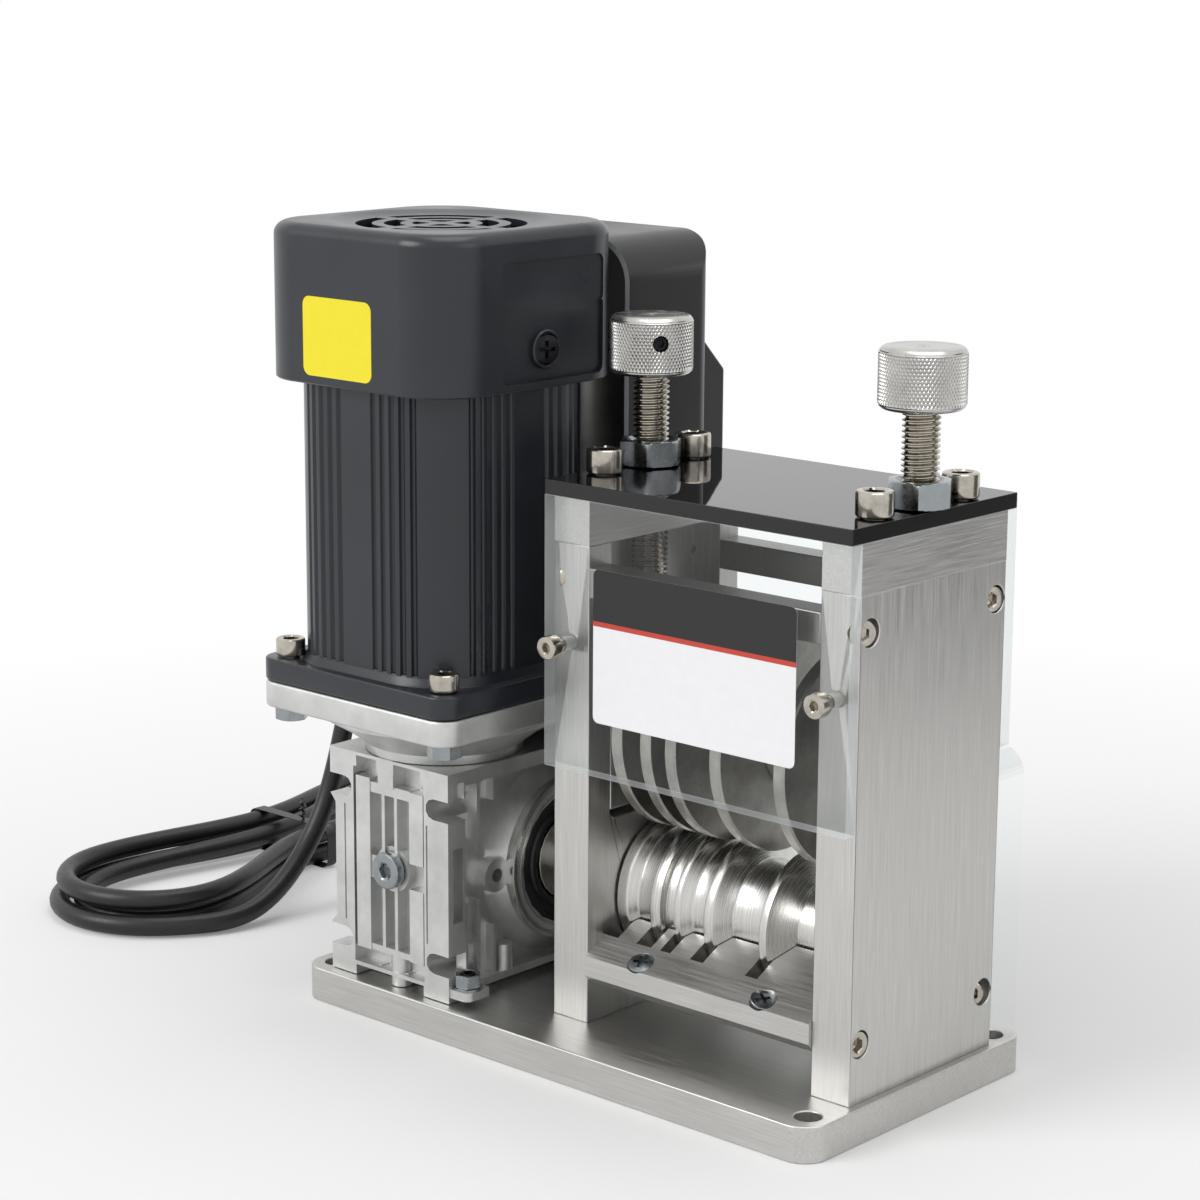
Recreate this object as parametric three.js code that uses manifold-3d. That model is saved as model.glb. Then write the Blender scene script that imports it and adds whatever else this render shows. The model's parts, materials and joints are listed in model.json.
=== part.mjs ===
// Bench wire stripping machine: a gear motor turns a grooved feed roller, and blade discs on a
// height-adjustable carriage slit the cable that the roller pulls through.
// Millimetres, +Z up. The origin is the centre of the base plate's underside, +Y points to the rear.

import * as THREE from 'three';
import { mergeVertices } from 'three/addons/utils/BufferGeometryUtils.js';
import Module from 'manifold-3d';

const wasm = await Module();
wasm.setup();

// Driving dimensions

const gap = 0.3; // clearance left between neighbouring pieces
const overrun = 1; // how far a cutting tool passes the face that it cuts

// Sides of round forms, from small holes to the feed roller
const sides = { small: 10, medium: 16, large: 20, wide: 24 };

const base = {
  length: 226,
  width: 116,
  thick: 12,
  cornerRadius: 9,
  holeRadius: 4.35,
  holeFromEnd: 8.2,
  holeFromSide: 9.8,
};

// The stripping head: two side plates, each with a bar on top
const head = {
  width: 124,
  depth: 75,
  plateThick: 15,
  plateHeight: 161,
  barHeight: 16,
  fromBaseEnd: 3,
  fromBaseFront: 23.5,
  axisDepth: 38,
};

// Pocket in each side plate's inner face, open at the top, where the bearing block slides
const pocket = {
  width: 54.6,
  floor: 68,
  depth: 12,
  cornerRadius: 3,
};

const sideScrew = {
  seatRadius: 4.5,
  seatDepth: 5.3,
  fromEdge: 5,
  upperHeight: 149.2,
  lowerHeight: 19.2,
};

const feed = {
  axisHeight: 40.3,
  rimRadius: 24.2,
  sideGap: 0.6,
  journalRadius: 8.5,
  outputRadius: 7,
  outputLength: 87,
};

// Grooves of the feed roller, as shares of the space between the side plates and, for their
// bottoms, of the rim's radius
const grooveShares = [
  { from: 0.0532, to: 0.1596, flank: 0.0213, bottom: 0.8595 },
  { from: 0.2064, to: 0.2681, flank: 0.0021, bottom: 0.876 },
  { from: 0.2936, to: 0.4043, flank: 0.0277, bottom: 0.8347 },
  { from: 0.4415, to: 0.6489, flank: 0.0372, bottom: 0.7231 },
  { from: 0.6809, to: 0.9574, flank: 0.0479, bottom: 0.5579 },
];

const bearing = {
  radius: 17.5,
  width: 10,
};

const blade = {
  radius: 36,
  chamfer: 0.6,
  seatRadius: 10,
  belowRim: 1.5,
};

const spacerRadius = 14;

const carriage = {
  blockHeight: 56,
  slideGap: 0.5,
  journalRadius: 7.5,
  lowestTravel: 1,
};

const adjuster = {
  radius: 6,
  tipRadius: 2.5,
  tipLength: 8,
  knobRadius: 13.65,
  knobHeight: 19,
  knobBase: 212.5,
  knobChamfer: 0.8,
  boreDepth: 13.5,
  nutRadius: 10.9,
  nutHeight: 8.5,
};

const cover = {
  thick: 5,
  overhang: 5,
  screwFromFront: 15.5,
  screwFromRear: 15.5,
};

const capScrew = {
  headRadius: 6,
  headHeight: 8,
  socketRadius: 3.3,
  socketDepth: 4,
  shankRadius: 4,
  shankLength: 17,
};

const shield = {
  thick: 5,
  frontBottom: 87,
  rearBottom: 100,
  screwHeight: 128.5,
};

const shieldScrew = {
  headRadius: 3.4,
  headHeight: 4.6,
  socketRadius: 1.8,
  socketDepth: 2.4,
  shankRadius: 2,
  shankLength: 16,
  standOff: 8,
};

const guideBlock = {
  thick: 14,
  height: 97,
  cornerRadius: 9,
  holeHeight: 67,
};

// Radius of the guide block's hole behind each groove, as a share of the space between the plates
const guideHoleShares = [0.0372, 0.0277, 0.0479, 0.0798, 0.1064];

const tieBar = {
  size: 10,
  upperBottom: 144,
  lowerBottom: 14,
};

const comb = {
  front: -1.5,
  bottom: 13.8,
  faceHeight: 10,
  rear: 24,
  rise: 13,
  chamfer: 3.2,
  rollerGap: 0.7,
  slotFront: 8.5,
  slotGap: 1,
};

// Worm gearbox, measured from the motor axis and the base plate's top
const gearbox = {
  fromHead: 59,
  width: 57,
  front: 27,
  rear: 69.5,
  aboveCasing: 3.2,
  centreDistance: 30,
  coreHalfWidth: 23,
  flangeThick: 5,
  frontThick: 5,
  casingRadius: 36.5,
  columnWidth: 11.5,
  hubRadius: 28.5,
  hubFace: 31,
  hubRootRadius: 35,
  hubStep: 3,
  sealRadius: 23.5,
  sealThick: 4,
  wheelCavityRadius: 22.4,
  wheelCavityEnd: 16,
  wormCavityRadius: 9.4,
  wormCavityFloor: 10,
  notchRadius: 3.6,
  notchDepth: 7,
  notchFromEnd: 13,
  ribThick: 1.8,
  ribPitch: 6.5,
};

const sideBoss = {
  radius: 6,
  height: 5,
  forward: 3,
  holeRadius: 2.5,
  holeDepth: 8,
};

const hubCover = {
  radius: 34,
  thick: 5,
  spigotLength: 5,
  stepRadius: 28.5,
};

const wormWheel = {
  radius: 20.5,
  width: 16,
  sleeveRadius: 15,
};

const worm = {
  radius: 8.7,
  length: 82,
};

const oilPlug = {
  headRadius: 6.4,
  headHeight: 4,
  bossRadius: 8,
  bossHeight: 3,
  height: 41.3,
  socketRadius: 2.9,
  socketDepth: 2.5,
  shankRadius: 4,
  shankLength: 7,
};

const adaptor = {
  neckHeight: 14.7,
  neckRadius: 27,
  neckTopRadius: 43,
  flangeThick: 9,
  boreRadius: 10.5,
};

const motor = {
  bodySize: 80,
  bodyRadius: 25,
  bodyTop: 224,
  wall: 5.7,
  flangeOverhang: 5,
  flangeRadius: 7.5,
  flangeThick: 7.7,
  boltFromEdge: 8.25,
  bellOverhang: 2.2,
  bellHeight: 15,
  shaftRadius: 6,
  boreFloor: 118,
  fluteFirst: 8,
  flutePitch: 4.2,
  fluteWidth: 2,
  fluteDepth: 1.4,
};
const flutesPerGroup = 5;

const stator = {
  thick: 8.4,
  bottom: 125,
  height: 60,
};

const rotor = {
  airGap: 0.6,
  bottom: 130,
  height: 50,
  shaftBottom: 22,
  shaftTop: 240,
};

const motorBolt = {
  headRadius: 5,
  headHeight: 6,
  socketRadius: 2.9,
  socketDepth: 3,
  shankRadius: 3,
  shankLength: 22,
};

const fan = {
  hubRadius: 10,
  rimGap: 9.5,
  bottom: 227,
  height: 14,
  discThick: 2,
  bladeThick: 2,
};
const fanBladeCount = 7;

const cowl = {
  overhang: 5,
  cornerRadius: 20,
  bottom: 208,
  top: 260,
  wall: 2.5,
  topRound: 6,
  grilleRadius: 28,
  ringWidth: 2.6,
  ringPitch: 5.6,
  spokeWidth: 4,
};
const grilleSlots = 4;
const grilleSpokes = 4;

// Control box cover, a folded sheet that is open to the front
const box = {
  width: 86,
  front: 45.5,
  rear: 90,
  height: 253,
  sheet: 2,
  topRadius: 15,
  rearRadius: 8,
};

const capacitor = {
  radius: 17,
  height: 62,
  belowTop: 41,
};

const switchHousing = {
  width: 60,
  thick: 21,
  bottom: 110,
  height: 106,
  slant: 14,
  pocketWidth: 22,
  pocketHeight: 28,
  pocketDepth: 13,
};

const rocker = {
  sideGap: 0.7,
  depth: 10,
  crown: 2.6,
  pivotDepth: 4,
};

const gland = {
  flangeRadius: 9,
  flangeThick: 3,
  rootRadius: 7,
  tipRadius: 5,
  length: 22,
  shankRadius: 6.3,
  shankLength: 6,
  fromBoxFront: 21,
  height: 106,
};

const cord = {
  radius: 3.8,
};
const cordSides = 8;

// The free stretch of the mains cord, from the gland's tip down to the hank, chosen by hand
const cordRoute = [
  [-138.6, 40, 118],
  [-146.2, 40, 118],
  [-157.8, 39.8, 116.1],
  [-168.3, 38.8, 110.6],
  [-176, 37, 101.8],
  [-180, 34.8, 91.5],
  [-182, 32.2, 80],
  [-183.4, 29.8, 68],
  [-184.6, 27.3, 56],
  [-185.6, 24, 44.3],
  [-186, 18.8, 33],
  [-185.8, 11.2, 23],
  [-184.6, 1.5, 15],
  [-183.2, -9.3, 9.2],
  [-183, -20.3, 5.6],
  [-185.1, -31, 4.3],
  [-189.4, -40.15, 4.1],
];

// The hank seen from above: two round ends and a waist, each loop drawn in by the turn pitch
const hank = {
  nearX: -228,
  nearY: -27,
  nearRadius: 40,
  waistX: -236,
  waistY: 50,
  waistHalf: 19,
  farX: -231,
  farY: 114,
  farRadius: 38,
  turnPitch: 9.4,
  layerPitch: 8.3,
  tail: 36,
};
const hankSides = 6;
const hankStations = 24; // in one loop
const hankFirst = 1; // station where the hank starts, on its near end
const hankSteps = 62; // two loops and a half, up to the middle of its far end

const plug = {
  bootLength: 22,
  bootRadius: 5,
  bootRootRadius: 7,
  length: 33,
  width: 34,
  height: 24.2,
  cornerRadius: 11.5,
  pinRadius: 2.4,
  pinLength: 19,
  pinPitch: 19,
};

// Sizes and places that follow from the sizes above

const innerWidth = head.width - 2 * head.plateThick;
const grooves = grooveShares.map((shares) => ({
  from: shares.from * innerWidth,
  to: shares.to * innerWidth,
  flank: shares.flank * innerWidth,
  bottom: shares.bottom * feed.rimRadius,
}));
const guideHoleRadii = guideHoleShares.map((share) => share * innerWidth);
const narrowestGroove = Math.min(...grooves.map((groove) => groove.to - groove.from - 2 * groove.flank));
const bladeThick = narrowestGroove - 2 * gap;
const gearboxHeight = feed.axisHeight + gearbox.casingRadius + gearbox.aboveCasing;
const motorFlangeSize = motor.bodySize + 2 * motor.flangeOverhang;
const boltPitch = motorFlangeSize - 2 * motor.boltFromEdge;
const motorBoreRadius = motor.bodySize / 2 - motor.wall;
const statorInnerRadius = motorBoreRadius - gap - stator.thick;
const rotorRadius = statorInnerRadius - rotor.airGap;
const cowlSize = motor.bodySize + 2 * cowl.overhang;
const fanRadius = cowlSize / 2 - cowl.wall - fan.rimGap;
const capacitorBottom = box.height - capacitor.belowTop - capacitor.height;

const headLeft = base.length / 2 - head.fromBaseEnd - head.width;
const headFront = head.fromBaseFront - base.width / 2;
const headTop = head.plateHeight + head.barHeight;
const innerLeft = head.plateThick;
const innerRight = head.width - head.plateThick;
const bladeAxisHeight = feed.axisHeight + feed.rimRadius - blade.belowRim + blade.radius;
const blockBottom = bladeAxisHeight - carriage.blockHeight / 2;
const blockTop = blockBottom + carriage.blockHeight;
const knobTop = adjuster.knobBase + adjuster.knobHeight;
const driveX = headLeft - gearbox.fromHead;
const driveY = headFront + head.axisDepth - gearbox.centreDistance;
const flangeBottom = gearboxHeight + gap + adaptor.neckHeight;
const flangeTop = flangeBottom + adaptor.flangeThick;
const bodyBottom = flangeTop + gap + motor.flangeThick;

// Finishes

const finish = (color, roughness, metalness) => ({ color, roughness, metalness });
const finishes = {
  brushedAluminium: finish(0xc9c7c3, 0.4, 1),
  turnedAluminium: finish(0xd4d4d3, 0.22, 1),
  castAluminium: finish(0xc2c3c1, 0.5, 0.8),
  blackGloss: finish(0x141416, 0.08, 0),
  clearAcrylic: finish(0xeef2f2, 0.05, 0),
  groundSteel: finish(0x9a9890, 0.5, 0.9),
  nickelSteel: finish(0xcdc5b4, 0.2, 1),
  zincSteel: finish(0xb6bcc4, 0.3, 1),
  motorGrey: finish(0x2c3138, 0.45, 0.1),
  blackPaint: finish(0x17181b, 0.35, 0.1),
  blackRubber: finish(0x121213, 0.6, 0),
  blackPlastic: finish(0x1a1a1c, 0.4, 0),
  bronze: finish(0xa98550, 0.35, 1),
};

// Geometry helpers

const axisFrames = {
  x: new THREE.Matrix4().set(0, 0, 1, 0, 1, 0, 0, 0, 0, 1, 0, 0, 0, 0, 0, 1),
  y: new THREE.Matrix4().set(1, 0, 0, 0, 0, 0, -1, 0, 0, 1, 0, 0, 0, 0, 0, 1),
  z: new THREE.Matrix4(),
};

// Welds a geometry's shared corners, drops its collapsed faces and makes it a solid
function asSolid(geometry) {
  geometry.deleteAttribute('normal');
  geometry.deleteAttribute('uv');
  const welded = mergeVertices(geometry);
  const corners = welded.index.array;
  const kept = [];
  for (let i = 0; i < corners.length; i += 3) {
    const [a, b, c] = corners.slice(i, i + 3);
    if (a !== b && b !== c && c !== a) kept.push(a, b, c);
  }
  const vertProperties = new Float32Array(welded.attributes.position.array);
  return new wasm.Manifold(new wasm.Mesh({ numProp: 3, vertProperties, triVerts: new Uint32Array(kept) }));
}

function asGeometry(solid) {
  const mesh = solid.getMesh();
  const geometry = new THREE.BufferGeometry();
  geometry.setAttribute('position', new THREE.BufferAttribute(mesh.vertProperties, 3));
  geometry.setIndex(new THREE.BufferAttribute(mesh.triVerts, 1));
  geometry.computeVertexNormals();
  return geometry;
}

function union(solids) {
  return solids.reduce((sum, next) => sum.add(next));
}

function cut(solid, tools) {
  return tools.reduce((left, tool) => left.subtract(tool), solid);
}

// A box between two opposite corners
function block(low, high) {
  const geometry = new THREE.BoxGeometry(high[0] - low[0], high[1] - low[1], high[2] - low[2]);
  geometry.translate((low[0] + high[0]) / 2, (low[1] + high[1]) / 2, (low[2] + high[2]) / 2);
  return asSolid(geometry);
}

// A flat shape, drawn in the two other axes, drawn out along an axis
function prism(axis, shape, from, to, curveSegments = 3) {
  const options = { depth: to - from, bevelEnabled: false, curveSegments };
  const geometry = new THREE.ExtrudeGeometry(shape, options);
  geometry.applyMatrix4(axisFrames[axis]);
  const shift = { x: [from, 0, 0], y: [0, to, 0], z: [0, 0, from] }[axis];
  geometry.translate(...shift);
  return asSolid(geometry);
}

function outline(points) {
  return new THREE.Shape(points.map(([u, v]) => new THREE.Vector2(u, v)));
}

// A rectangle whose corners are rounded alike
function roundedRectangle(u0, v0, u1, v1, radius) {
  const shape = new THREE.Shape();
  shape.absarc(u1 - radius, v1 - radius, radius, 0, Math.PI / 2);
  shape.absarc(u0 + radius, v1 - radius, radius, Math.PI / 2, Math.PI);
  shape.absarc(u0 + radius, v0 + radius, radius, Math.PI, 1.5 * Math.PI);
  shape.absarc(u1 - radius, v0 + radius, radius, 1.5 * Math.PI, 2 * Math.PI);
  return shape;
}

const roundedSquare = (size, radius) => roundedRectangle(-size / 2, -size / 2, size / 2, size / 2, radius);

function polygon(count, radius, turn = 0) {
  const points = [];
  for (let i = 0; i < count; i++) {
    const angle = turn + (2 * Math.PI * i) / count;
    points.push([radius * Math.cos(angle), radius * Math.sin(angle)]);
  }
  return outline(points);
}

// A profile of [place along the axis, radius] turned about an axis through a centre
function turned(axis, centre, profile, count = sides.medium) {
  const points = profile.map(([along, radius]) => new THREE.Vector2(radius, along));
  const geometry = new THREE.LatheGeometry(points, count);
  if (axis === 'x') geometry.rotateZ(-Math.PI / 2);
  if (axis === 'z') geometry.rotateX(Math.PI / 2);
  const shift = { x: [0, ...centre], y: [centre[0], 0, centre[1]], z: [...centre, 0] }[axis];
  geometry.translate(...shift);
  return asSolid(geometry);
}

const rod = (axis, centre, from, to, radius, count) =>
  turned(axis, centre, [[from, 0], [from, radius], [to, radius], [to, 0]], count);

const tube = (axis, centre, from, to, outer, inner, count) =>
  turned(axis, centre, [[from, inner], [from, outer], [to, outer], [to, inner], [from, inner]], count);

// Model tree

const model = new THREE.Group();

const headGroup = new THREE.Group();
headGroup.position.set(headLeft, headFront, base.thick);
model.add(headGroup);

const driveGroup = new THREE.Group();
driveGroup.position.set(driveX, driveY, base.thick);
model.add(driveGroup);

function piece(group, name, solid, finishName) {
  const material = new THREE.MeshStandardMaterial(finishes[finishName]);
  const mesh = new THREE.Mesh(asGeometry(solid), material);
  mesh.name = name;
  group.add(mesh);
  return mesh;
}

// Socket head screw, its head standing on z = 0 and its shank below
function socketScrew(size, count) {
  const body = turned('z', [0, 0], [
    [-size.shankLength, 0],
    [-size.shankLength, size.shankRadius],
    [0, size.shankRadius],
    [0, size.headRadius],
    [size.headHeight, size.headRadius],
    [size.headHeight, 0],
  ], count);
  const socketFloor = size.headHeight - size.socketDepth;
  const socket = prism('z', polygon(6, size.socketRadius), socketFloor, size.headHeight + overrun);
  return body.subtract(socket);
}

// Base plate

function basePlate() {
  const halfLength = base.length / 2;
  const halfWidth = base.width / 2;
  const shape = roundedRectangle(-halfLength, -halfWidth, halfLength, halfWidth, base.cornerRadius);
  const holes = [];
  for (const side of [-1, 1]) {
    for (const end of [-1, 1]) {
      const centre = [end * (halfLength - base.holeFromEnd), side * (halfWidth - base.holeFromSide)];
      holes.push(rod('z', centre, -overrun, base.thick + overrun, base.holeRadius));
    }
  }
  piece(model, 'base_plate', cut(prism('z', shape, 0, base.thick), holes), 'brushedAluminium');
}

// Stripping head: the frame

// Places measured inwards from a side plate's outer face, as a from-to pair along X
const inwards = (side, near, far) => (side === 'left' ? [near, far] : [head.width - far, head.width - near]);
const plateCentre = (side) => (side === 'left' ? head.plateThick / 2 : head.width - head.plateThick / 2);

function sidePlate(side) {
  const [plateFrom, plateTo] = inwards(side, 0, head.plateThick);
  const [pocketFrom, pocketTo] = inwards(side, head.plateThick - pocket.depth, head.plateThick + overrun);
  const [seatFrom, seatTo] = inwards(side, head.plateThick - bearing.width - gap, head.plateThick + overrun);
  const [counterFrom, counterTo] = inwards(side, -overrun, sideScrew.seatDepth);
  const pocketShape = roundedRectangle(
    head.axisDepth - pocket.width / 2,
    pocket.floor,
    head.axisDepth + pocket.width / 2,
    head.plateHeight + pocket.floor,
    pocket.cornerRadius,
  );
  const feedAxis = [head.axisDepth, feed.axisHeight];
  const channelFloor = blockTop - carriage.lowestTravel - gap;
  const tools = [
    prism('x', pocketShape, pocketFrom, pocketTo, 2),
    rod('x', feedAxis, seatFrom, seatTo, bearing.radius + gap, sides.large),
    rod('z', [plateCentre(side), head.axisDepth], channelFloor, head.plateHeight + overrun,
      adjuster.radius + gap),
    rod('y', [plateCentre(side), shield.screwHeight], -overrun,
      shieldScrew.shankLength - shieldScrew.standOff + gap, shieldScrew.shankRadius + gap, sides.small),
  ];
  if (side === 'left') {
    tools.push(rod('x', feedAxis, -overrun, head.plateThick, feed.journalRadius + gap));
  }
  for (const y of [sideScrew.fromEdge, head.depth - sideScrew.fromEdge]) {
    for (const z of [sideScrew.lowerHeight, sideScrew.upperHeight]) {
      tools.push(rod('x', [y, z], counterFrom, counterTo, sideScrew.seatRadius));
    }
  }
  const plate = block([plateFrom, 0, 0], [plateTo, head.depth, head.plateHeight]);
  piece(headGroup, `${side}_side_plate`, cut(plate, tools), 'brushedAluminium');
}

const coverScrewDepths = [cover.screwFromFront, head.depth - cover.screwFromRear];

function topBar(side) {
  const [from, to] = inwards(side, 0, head.plateThick);
  const x = plateCentre(side);
  const holeFloor = headTop + cover.thick - capScrew.shankLength - gap;
  const tools = coverScrewDepths.map((y) =>
    rod('z', [x, y], holeFloor, headTop + overrun, capScrew.shankRadius + gap));
  tools.push(rod('z', [x, head.axisDepth], head.plateHeight - overrun, headTop + overrun,
    adjuster.radius + gap));
  const bar = block([from, 0, head.plateHeight], [to, head.depth, headTop]);
  piece(headGroup, `${side}_top_bar`, cut(bar, tools), 'brushedAluminium');
}

function topCover() {
  const low = [0, -cover.overhang, headTop];
  const high = [head.width, head.depth + cover.overhang, headTop + cover.thick];
  const tools = [];
  for (const side of ['left', 'right']) {
    const x = plateCentre(side);
    const from = headTop - overrun;
    const to = headTop + cover.thick + overrun;
    tools.push(rod('z', [x, head.axisDepth], from, to, adjuster.radius + gap));
    for (const y of coverScrewDepths) {
      tools.push(rod('z', [x, y], from, to, capScrew.shankRadius + gap));
    }
  }
  piece(headGroup, 'top_cover', cut(block(low, high), tools), 'blackGloss');
}

function shields() {
  const holes = ['left', 'right'].map((side) =>
    rod('y', [plateCentre(side), shield.screwHeight], -shield.thick - overrun, overrun,
      shieldScrew.shankRadius + gap, sides.small));
  const front = block([0, -shield.thick, shield.frontBottom], [head.width, 0, headTop]);
  piece(headGroup, 'front_shield', cut(front, holes), 'clearAcrylic');
  const rear = block([0, head.depth, shield.rearBottom], [head.width, head.depth + shield.thick, headTop]);
  piece(headGroup, 'rear_shield', rear, 'clearAcrylic');
}

const grooveCentre = (groove) => innerLeft + (groove.from + groove.to) / 2;

function rearGuideBlock() {
  const from = head.depth + gap;
  const to = from + guideBlock.thick;
  const radius = guideBlock.cornerRadius;
  const shape = new THREE.Shape();
  shape.moveTo(0, gap);
  shape.lineTo(head.width, gap);
  shape.absarc(head.width - radius, guideBlock.height - radius, radius, 0, Math.PI / 2);
  shape.absarc(radius, guideBlock.height - radius, radius, Math.PI / 2, Math.PI);
  const holes = grooves.map((groove, i) =>
    rod('y', [grooveCentre(groove), guideBlock.holeHeight], from - overrun, to + overrun, guideHoleRadii[i]));
  piece(headGroup, 'rear_guide_block', cut(prism('y', shape, from, to), holes), 'clearAcrylic');
}

function tieBars() {
  const rearFront = head.depth - tieBar.size;
  const bars = {
    front_tie_bar: [0, tieBar.upperBottom],
    rear_tie_bar: [rearFront, tieBar.upperBottom],
    rear_lower_bar: [rearFront, tieBar.lowerBottom],
  };
  for (const [name, [y, z]] of Object.entries(bars)) {
    const bar = block([innerLeft, y, z], [innerRight, y + tieBar.size, z + tieBar.size]);
    piece(headGroup, name, bar, 'brushedAluminium');
  }
}

// Stripping head: the feed roller and what runs against it

// The roller's grooved outline, larger by a margin where a cutting tool is wanted
function rollerOutline(from, to, margin = 0) {
  const rim = feed.rimRadius + margin;
  const points = [[from, rim]];
  for (const groove of grooves) {
    const bottom = groove.bottom + margin;
    points.push([innerLeft + groove.from, rim]);
    points.push([innerLeft + groove.from + groove.flank, bottom]);
    points.push([innerLeft + groove.to - groove.flank, bottom]);
    points.push([innerLeft + groove.to, rim]);
  }
  points.push([to, rim]);
  return points;
}

function feedRoller() {
  const left = innerLeft + feed.sideGap;
  const right = innerRight - feed.sideGap;
  const journalStart = innerLeft - bearing.width;
  const journalEnd = innerRight + bearing.width - gap;
  const profile = [
    [-feed.outputLength, 0],
    [-feed.outputLength, feed.outputRadius],
    [journalStart - gap, feed.outputRadius],
    [journalStart - gap, feed.journalRadius],
    [left, feed.journalRadius],
    ...rollerOutline(left, right),
    [right, feed.journalRadius],
    [journalEnd, feed.journalRadius],
    [journalEnd, 0],
  ];
  const axis = [head.axisDepth, feed.axisHeight];
  piece(headGroup, 'feed_roller', turned('x', axis, profile, sides.wide), 'turnedAluminium');
}

function feedBearing(side) {
  const [from, to] = inwards(side, head.plateThick - bearing.width, head.plateThick - gap);
  const axis = [head.axisDepth, feed.axisHeight];
  const ring = tube('x', axis, from, to, bearing.radius, feed.journalRadius + gap, sides.large);
  piece(headGroup, `${side}_feed_bearing`, ring, 'groundSteel');
}

function guideComb() {
  const faceTop = comb.bottom + comb.faceHeight;
  const shape = outline([
    [comb.front, comb.bottom + comb.chamfer],
    [comb.front + comb.chamfer, comb.bottom],
    [comb.rear, comb.bottom],
    [comb.rear, faceTop + comb.rise],
    [comb.front, faceTop],
  ]);
  const body = prism('x', shape, innerLeft, innerRight);
  const rollerSpace = [
    [innerLeft - overrun, 0],
    ...rollerOutline(innerLeft - overrun, innerRight + overrun, comb.rollerGap),
    [innerRight + overrun, 0],
  ];
  const tools = [turned('x', [head.axisDepth, feed.axisHeight], rollerSpace, sides.wide)];
  const rims = grooves.map((groove, i) => [i ? grooves[i - 1].to : 0, groove.from]);
  for (const [from, to] of rims) {
    const low = [innerLeft + from - comb.slotGap, comb.slotFront, comb.bottom + comb.faceHeight];
    const high = [innerLeft + to + comb.slotGap, comb.rear + overrun, faceTop + comb.rise + overrun];
    tools.push(block(low, high));
  }
  piece(headGroup, 'guide_comb', cut(body, tools), 'brushedAluminium');
}

// Stripping head: the blade carriage

function bladeShaft() {
  const from = head.plateThick - pocket.depth + 2 * gap;
  const to = head.width - from;
  const profile = [[from, 0], [from, carriage.journalRadius]];
  const spacerStart = innerLeft + gap;
  profile.push([spacerStart, carriage.journalRadius]);
  profile.push([spacerStart, spacerRadius]);
  for (const groove of grooves) {
    const half = bladeThick / 2 + gap;
    const centre = grooveCentre(groove);
    profile.push([centre - half, spacerRadius]);
    profile.push([centre - half, blade.seatRadius]);
    profile.push([centre + half, blade.seatRadius]);
    profile.push([centre + half, spacerRadius]);
  }
  profile.push([innerRight - gap, spacerRadius]);
  profile.push([innerRight - gap, carriage.journalRadius]);
  profile.push([to, carriage.journalRadius]);
  profile.push([to, 0]);
  piece(headGroup, 'blade_shaft', turned('x', [head.axisDepth, bladeAxisHeight], profile), 'groundSteel');
}

function blades() {
  const inner = blade.seatRadius + gap;
  const edge = blade.radius - blade.chamfer;
  grooves.forEach((groove, i) => {
    const from = grooveCentre(groove) - bladeThick / 2;
    const to = from + bladeThick;
    const profile = [
      [from, inner],
      [from, edge],
      [from + blade.chamfer, blade.radius],
      [to - blade.chamfer, blade.radius],
      [to, edge],
      [to, inner],
      [from, inner],
    ];
    const disc = turned('x', [head.axisDepth, bladeAxisHeight], profile, sides.wide);
    piece(headGroup, `blade_${i + 1}`, disc, 'groundSteel');
  });
}

function bearingBlock(side) {
  const [from, to] = inwards(side, head.plateThick - pocket.depth + gap, head.plateThick - gap);
  const halfWidth = pocket.width / 2 - carriage.slideGap;
  const low = [from, head.axisDepth - halfWidth, blockBottom];
  const high = [to, head.axisDepth + halfWidth, blockTop];
  const bore = rod('x', [head.axisDepth, bladeAxisHeight], from - overrun, to + overrun,
    carriage.journalRadius + gap);
  const tipHole = rod('z', [plateCentre(side), head.axisDepth], blockTop - adjuster.tipLength - gap,
    blockTop + overrun, adjuster.tipRadius + gap, sides.small);
  piece(headGroup, `${side}_bearing_block`, cut(block(low, high), [bore, tipHole]), 'groundSteel');
}

// Stripping head: height adjusters and screws

function adjusterScrew(side) {
  const shoulder = blockTop + gap;
  const top = adjuster.knobBase + adjuster.boreDepth - gap;
  const profile = [
    [blockTop - adjuster.tipLength, 0],
    [blockTop - adjuster.tipLength, adjuster.tipRadius],
    [shoulder, adjuster.tipRadius],
    [shoulder, adjuster.radius],
    [top, adjuster.radius],
    [top, 0],
  ];
  const screw = turned('z', [plateCentre(side), head.axisDepth], profile);
  piece(headGroup, `${side}_adjuster_screw`, screw, 'nickelSteel');
}

function knob(side) {
  const bore = adjuster.radius + gap;
  const rim = adjuster.knobRadius;
  const bevelled = rim - adjuster.knobChamfer;
  const profile = [
    [adjuster.knobBase + adjuster.boreDepth, 0],
    [adjuster.knobBase + adjuster.boreDepth, bore],
    [adjuster.knobBase, bore],
    [adjuster.knobBase, bevelled],
    [adjuster.knobBase + adjuster.knobChamfer, rim],
    [knobTop - adjuster.knobChamfer, rim],
    [knobTop, bevelled],
    [knobTop, 0],
  ];
  const turnedKnob = turned('z', [plateCentre(side), head.axisDepth], profile, sides.large);
  piece(headGroup, `${side}_knob`, turnedKnob, 'turnedAluminium');
}

// How far the lock nuts stand turned from square to the head
const nutTurn = Math.PI / 40;

function lockNut(side) {
  const shape = polygon(6, adjuster.nutRadius, nutTurn);
  const hole = new THREE.Path();
  hole.absarc(0, 0, adjuster.radius + gap, 0, 2 * Math.PI, true);
  shape.holes.push(hole);
  const solid = prism('z', shape, 0, adjuster.nutHeight, 8);
  const nut = piece(headGroup, `${side}_lock_nut`, solid, 'zincSteel');
  nut.position.set(plateCentre(side), head.axisDepth, headTop + cover.thick + gap);
}

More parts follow.
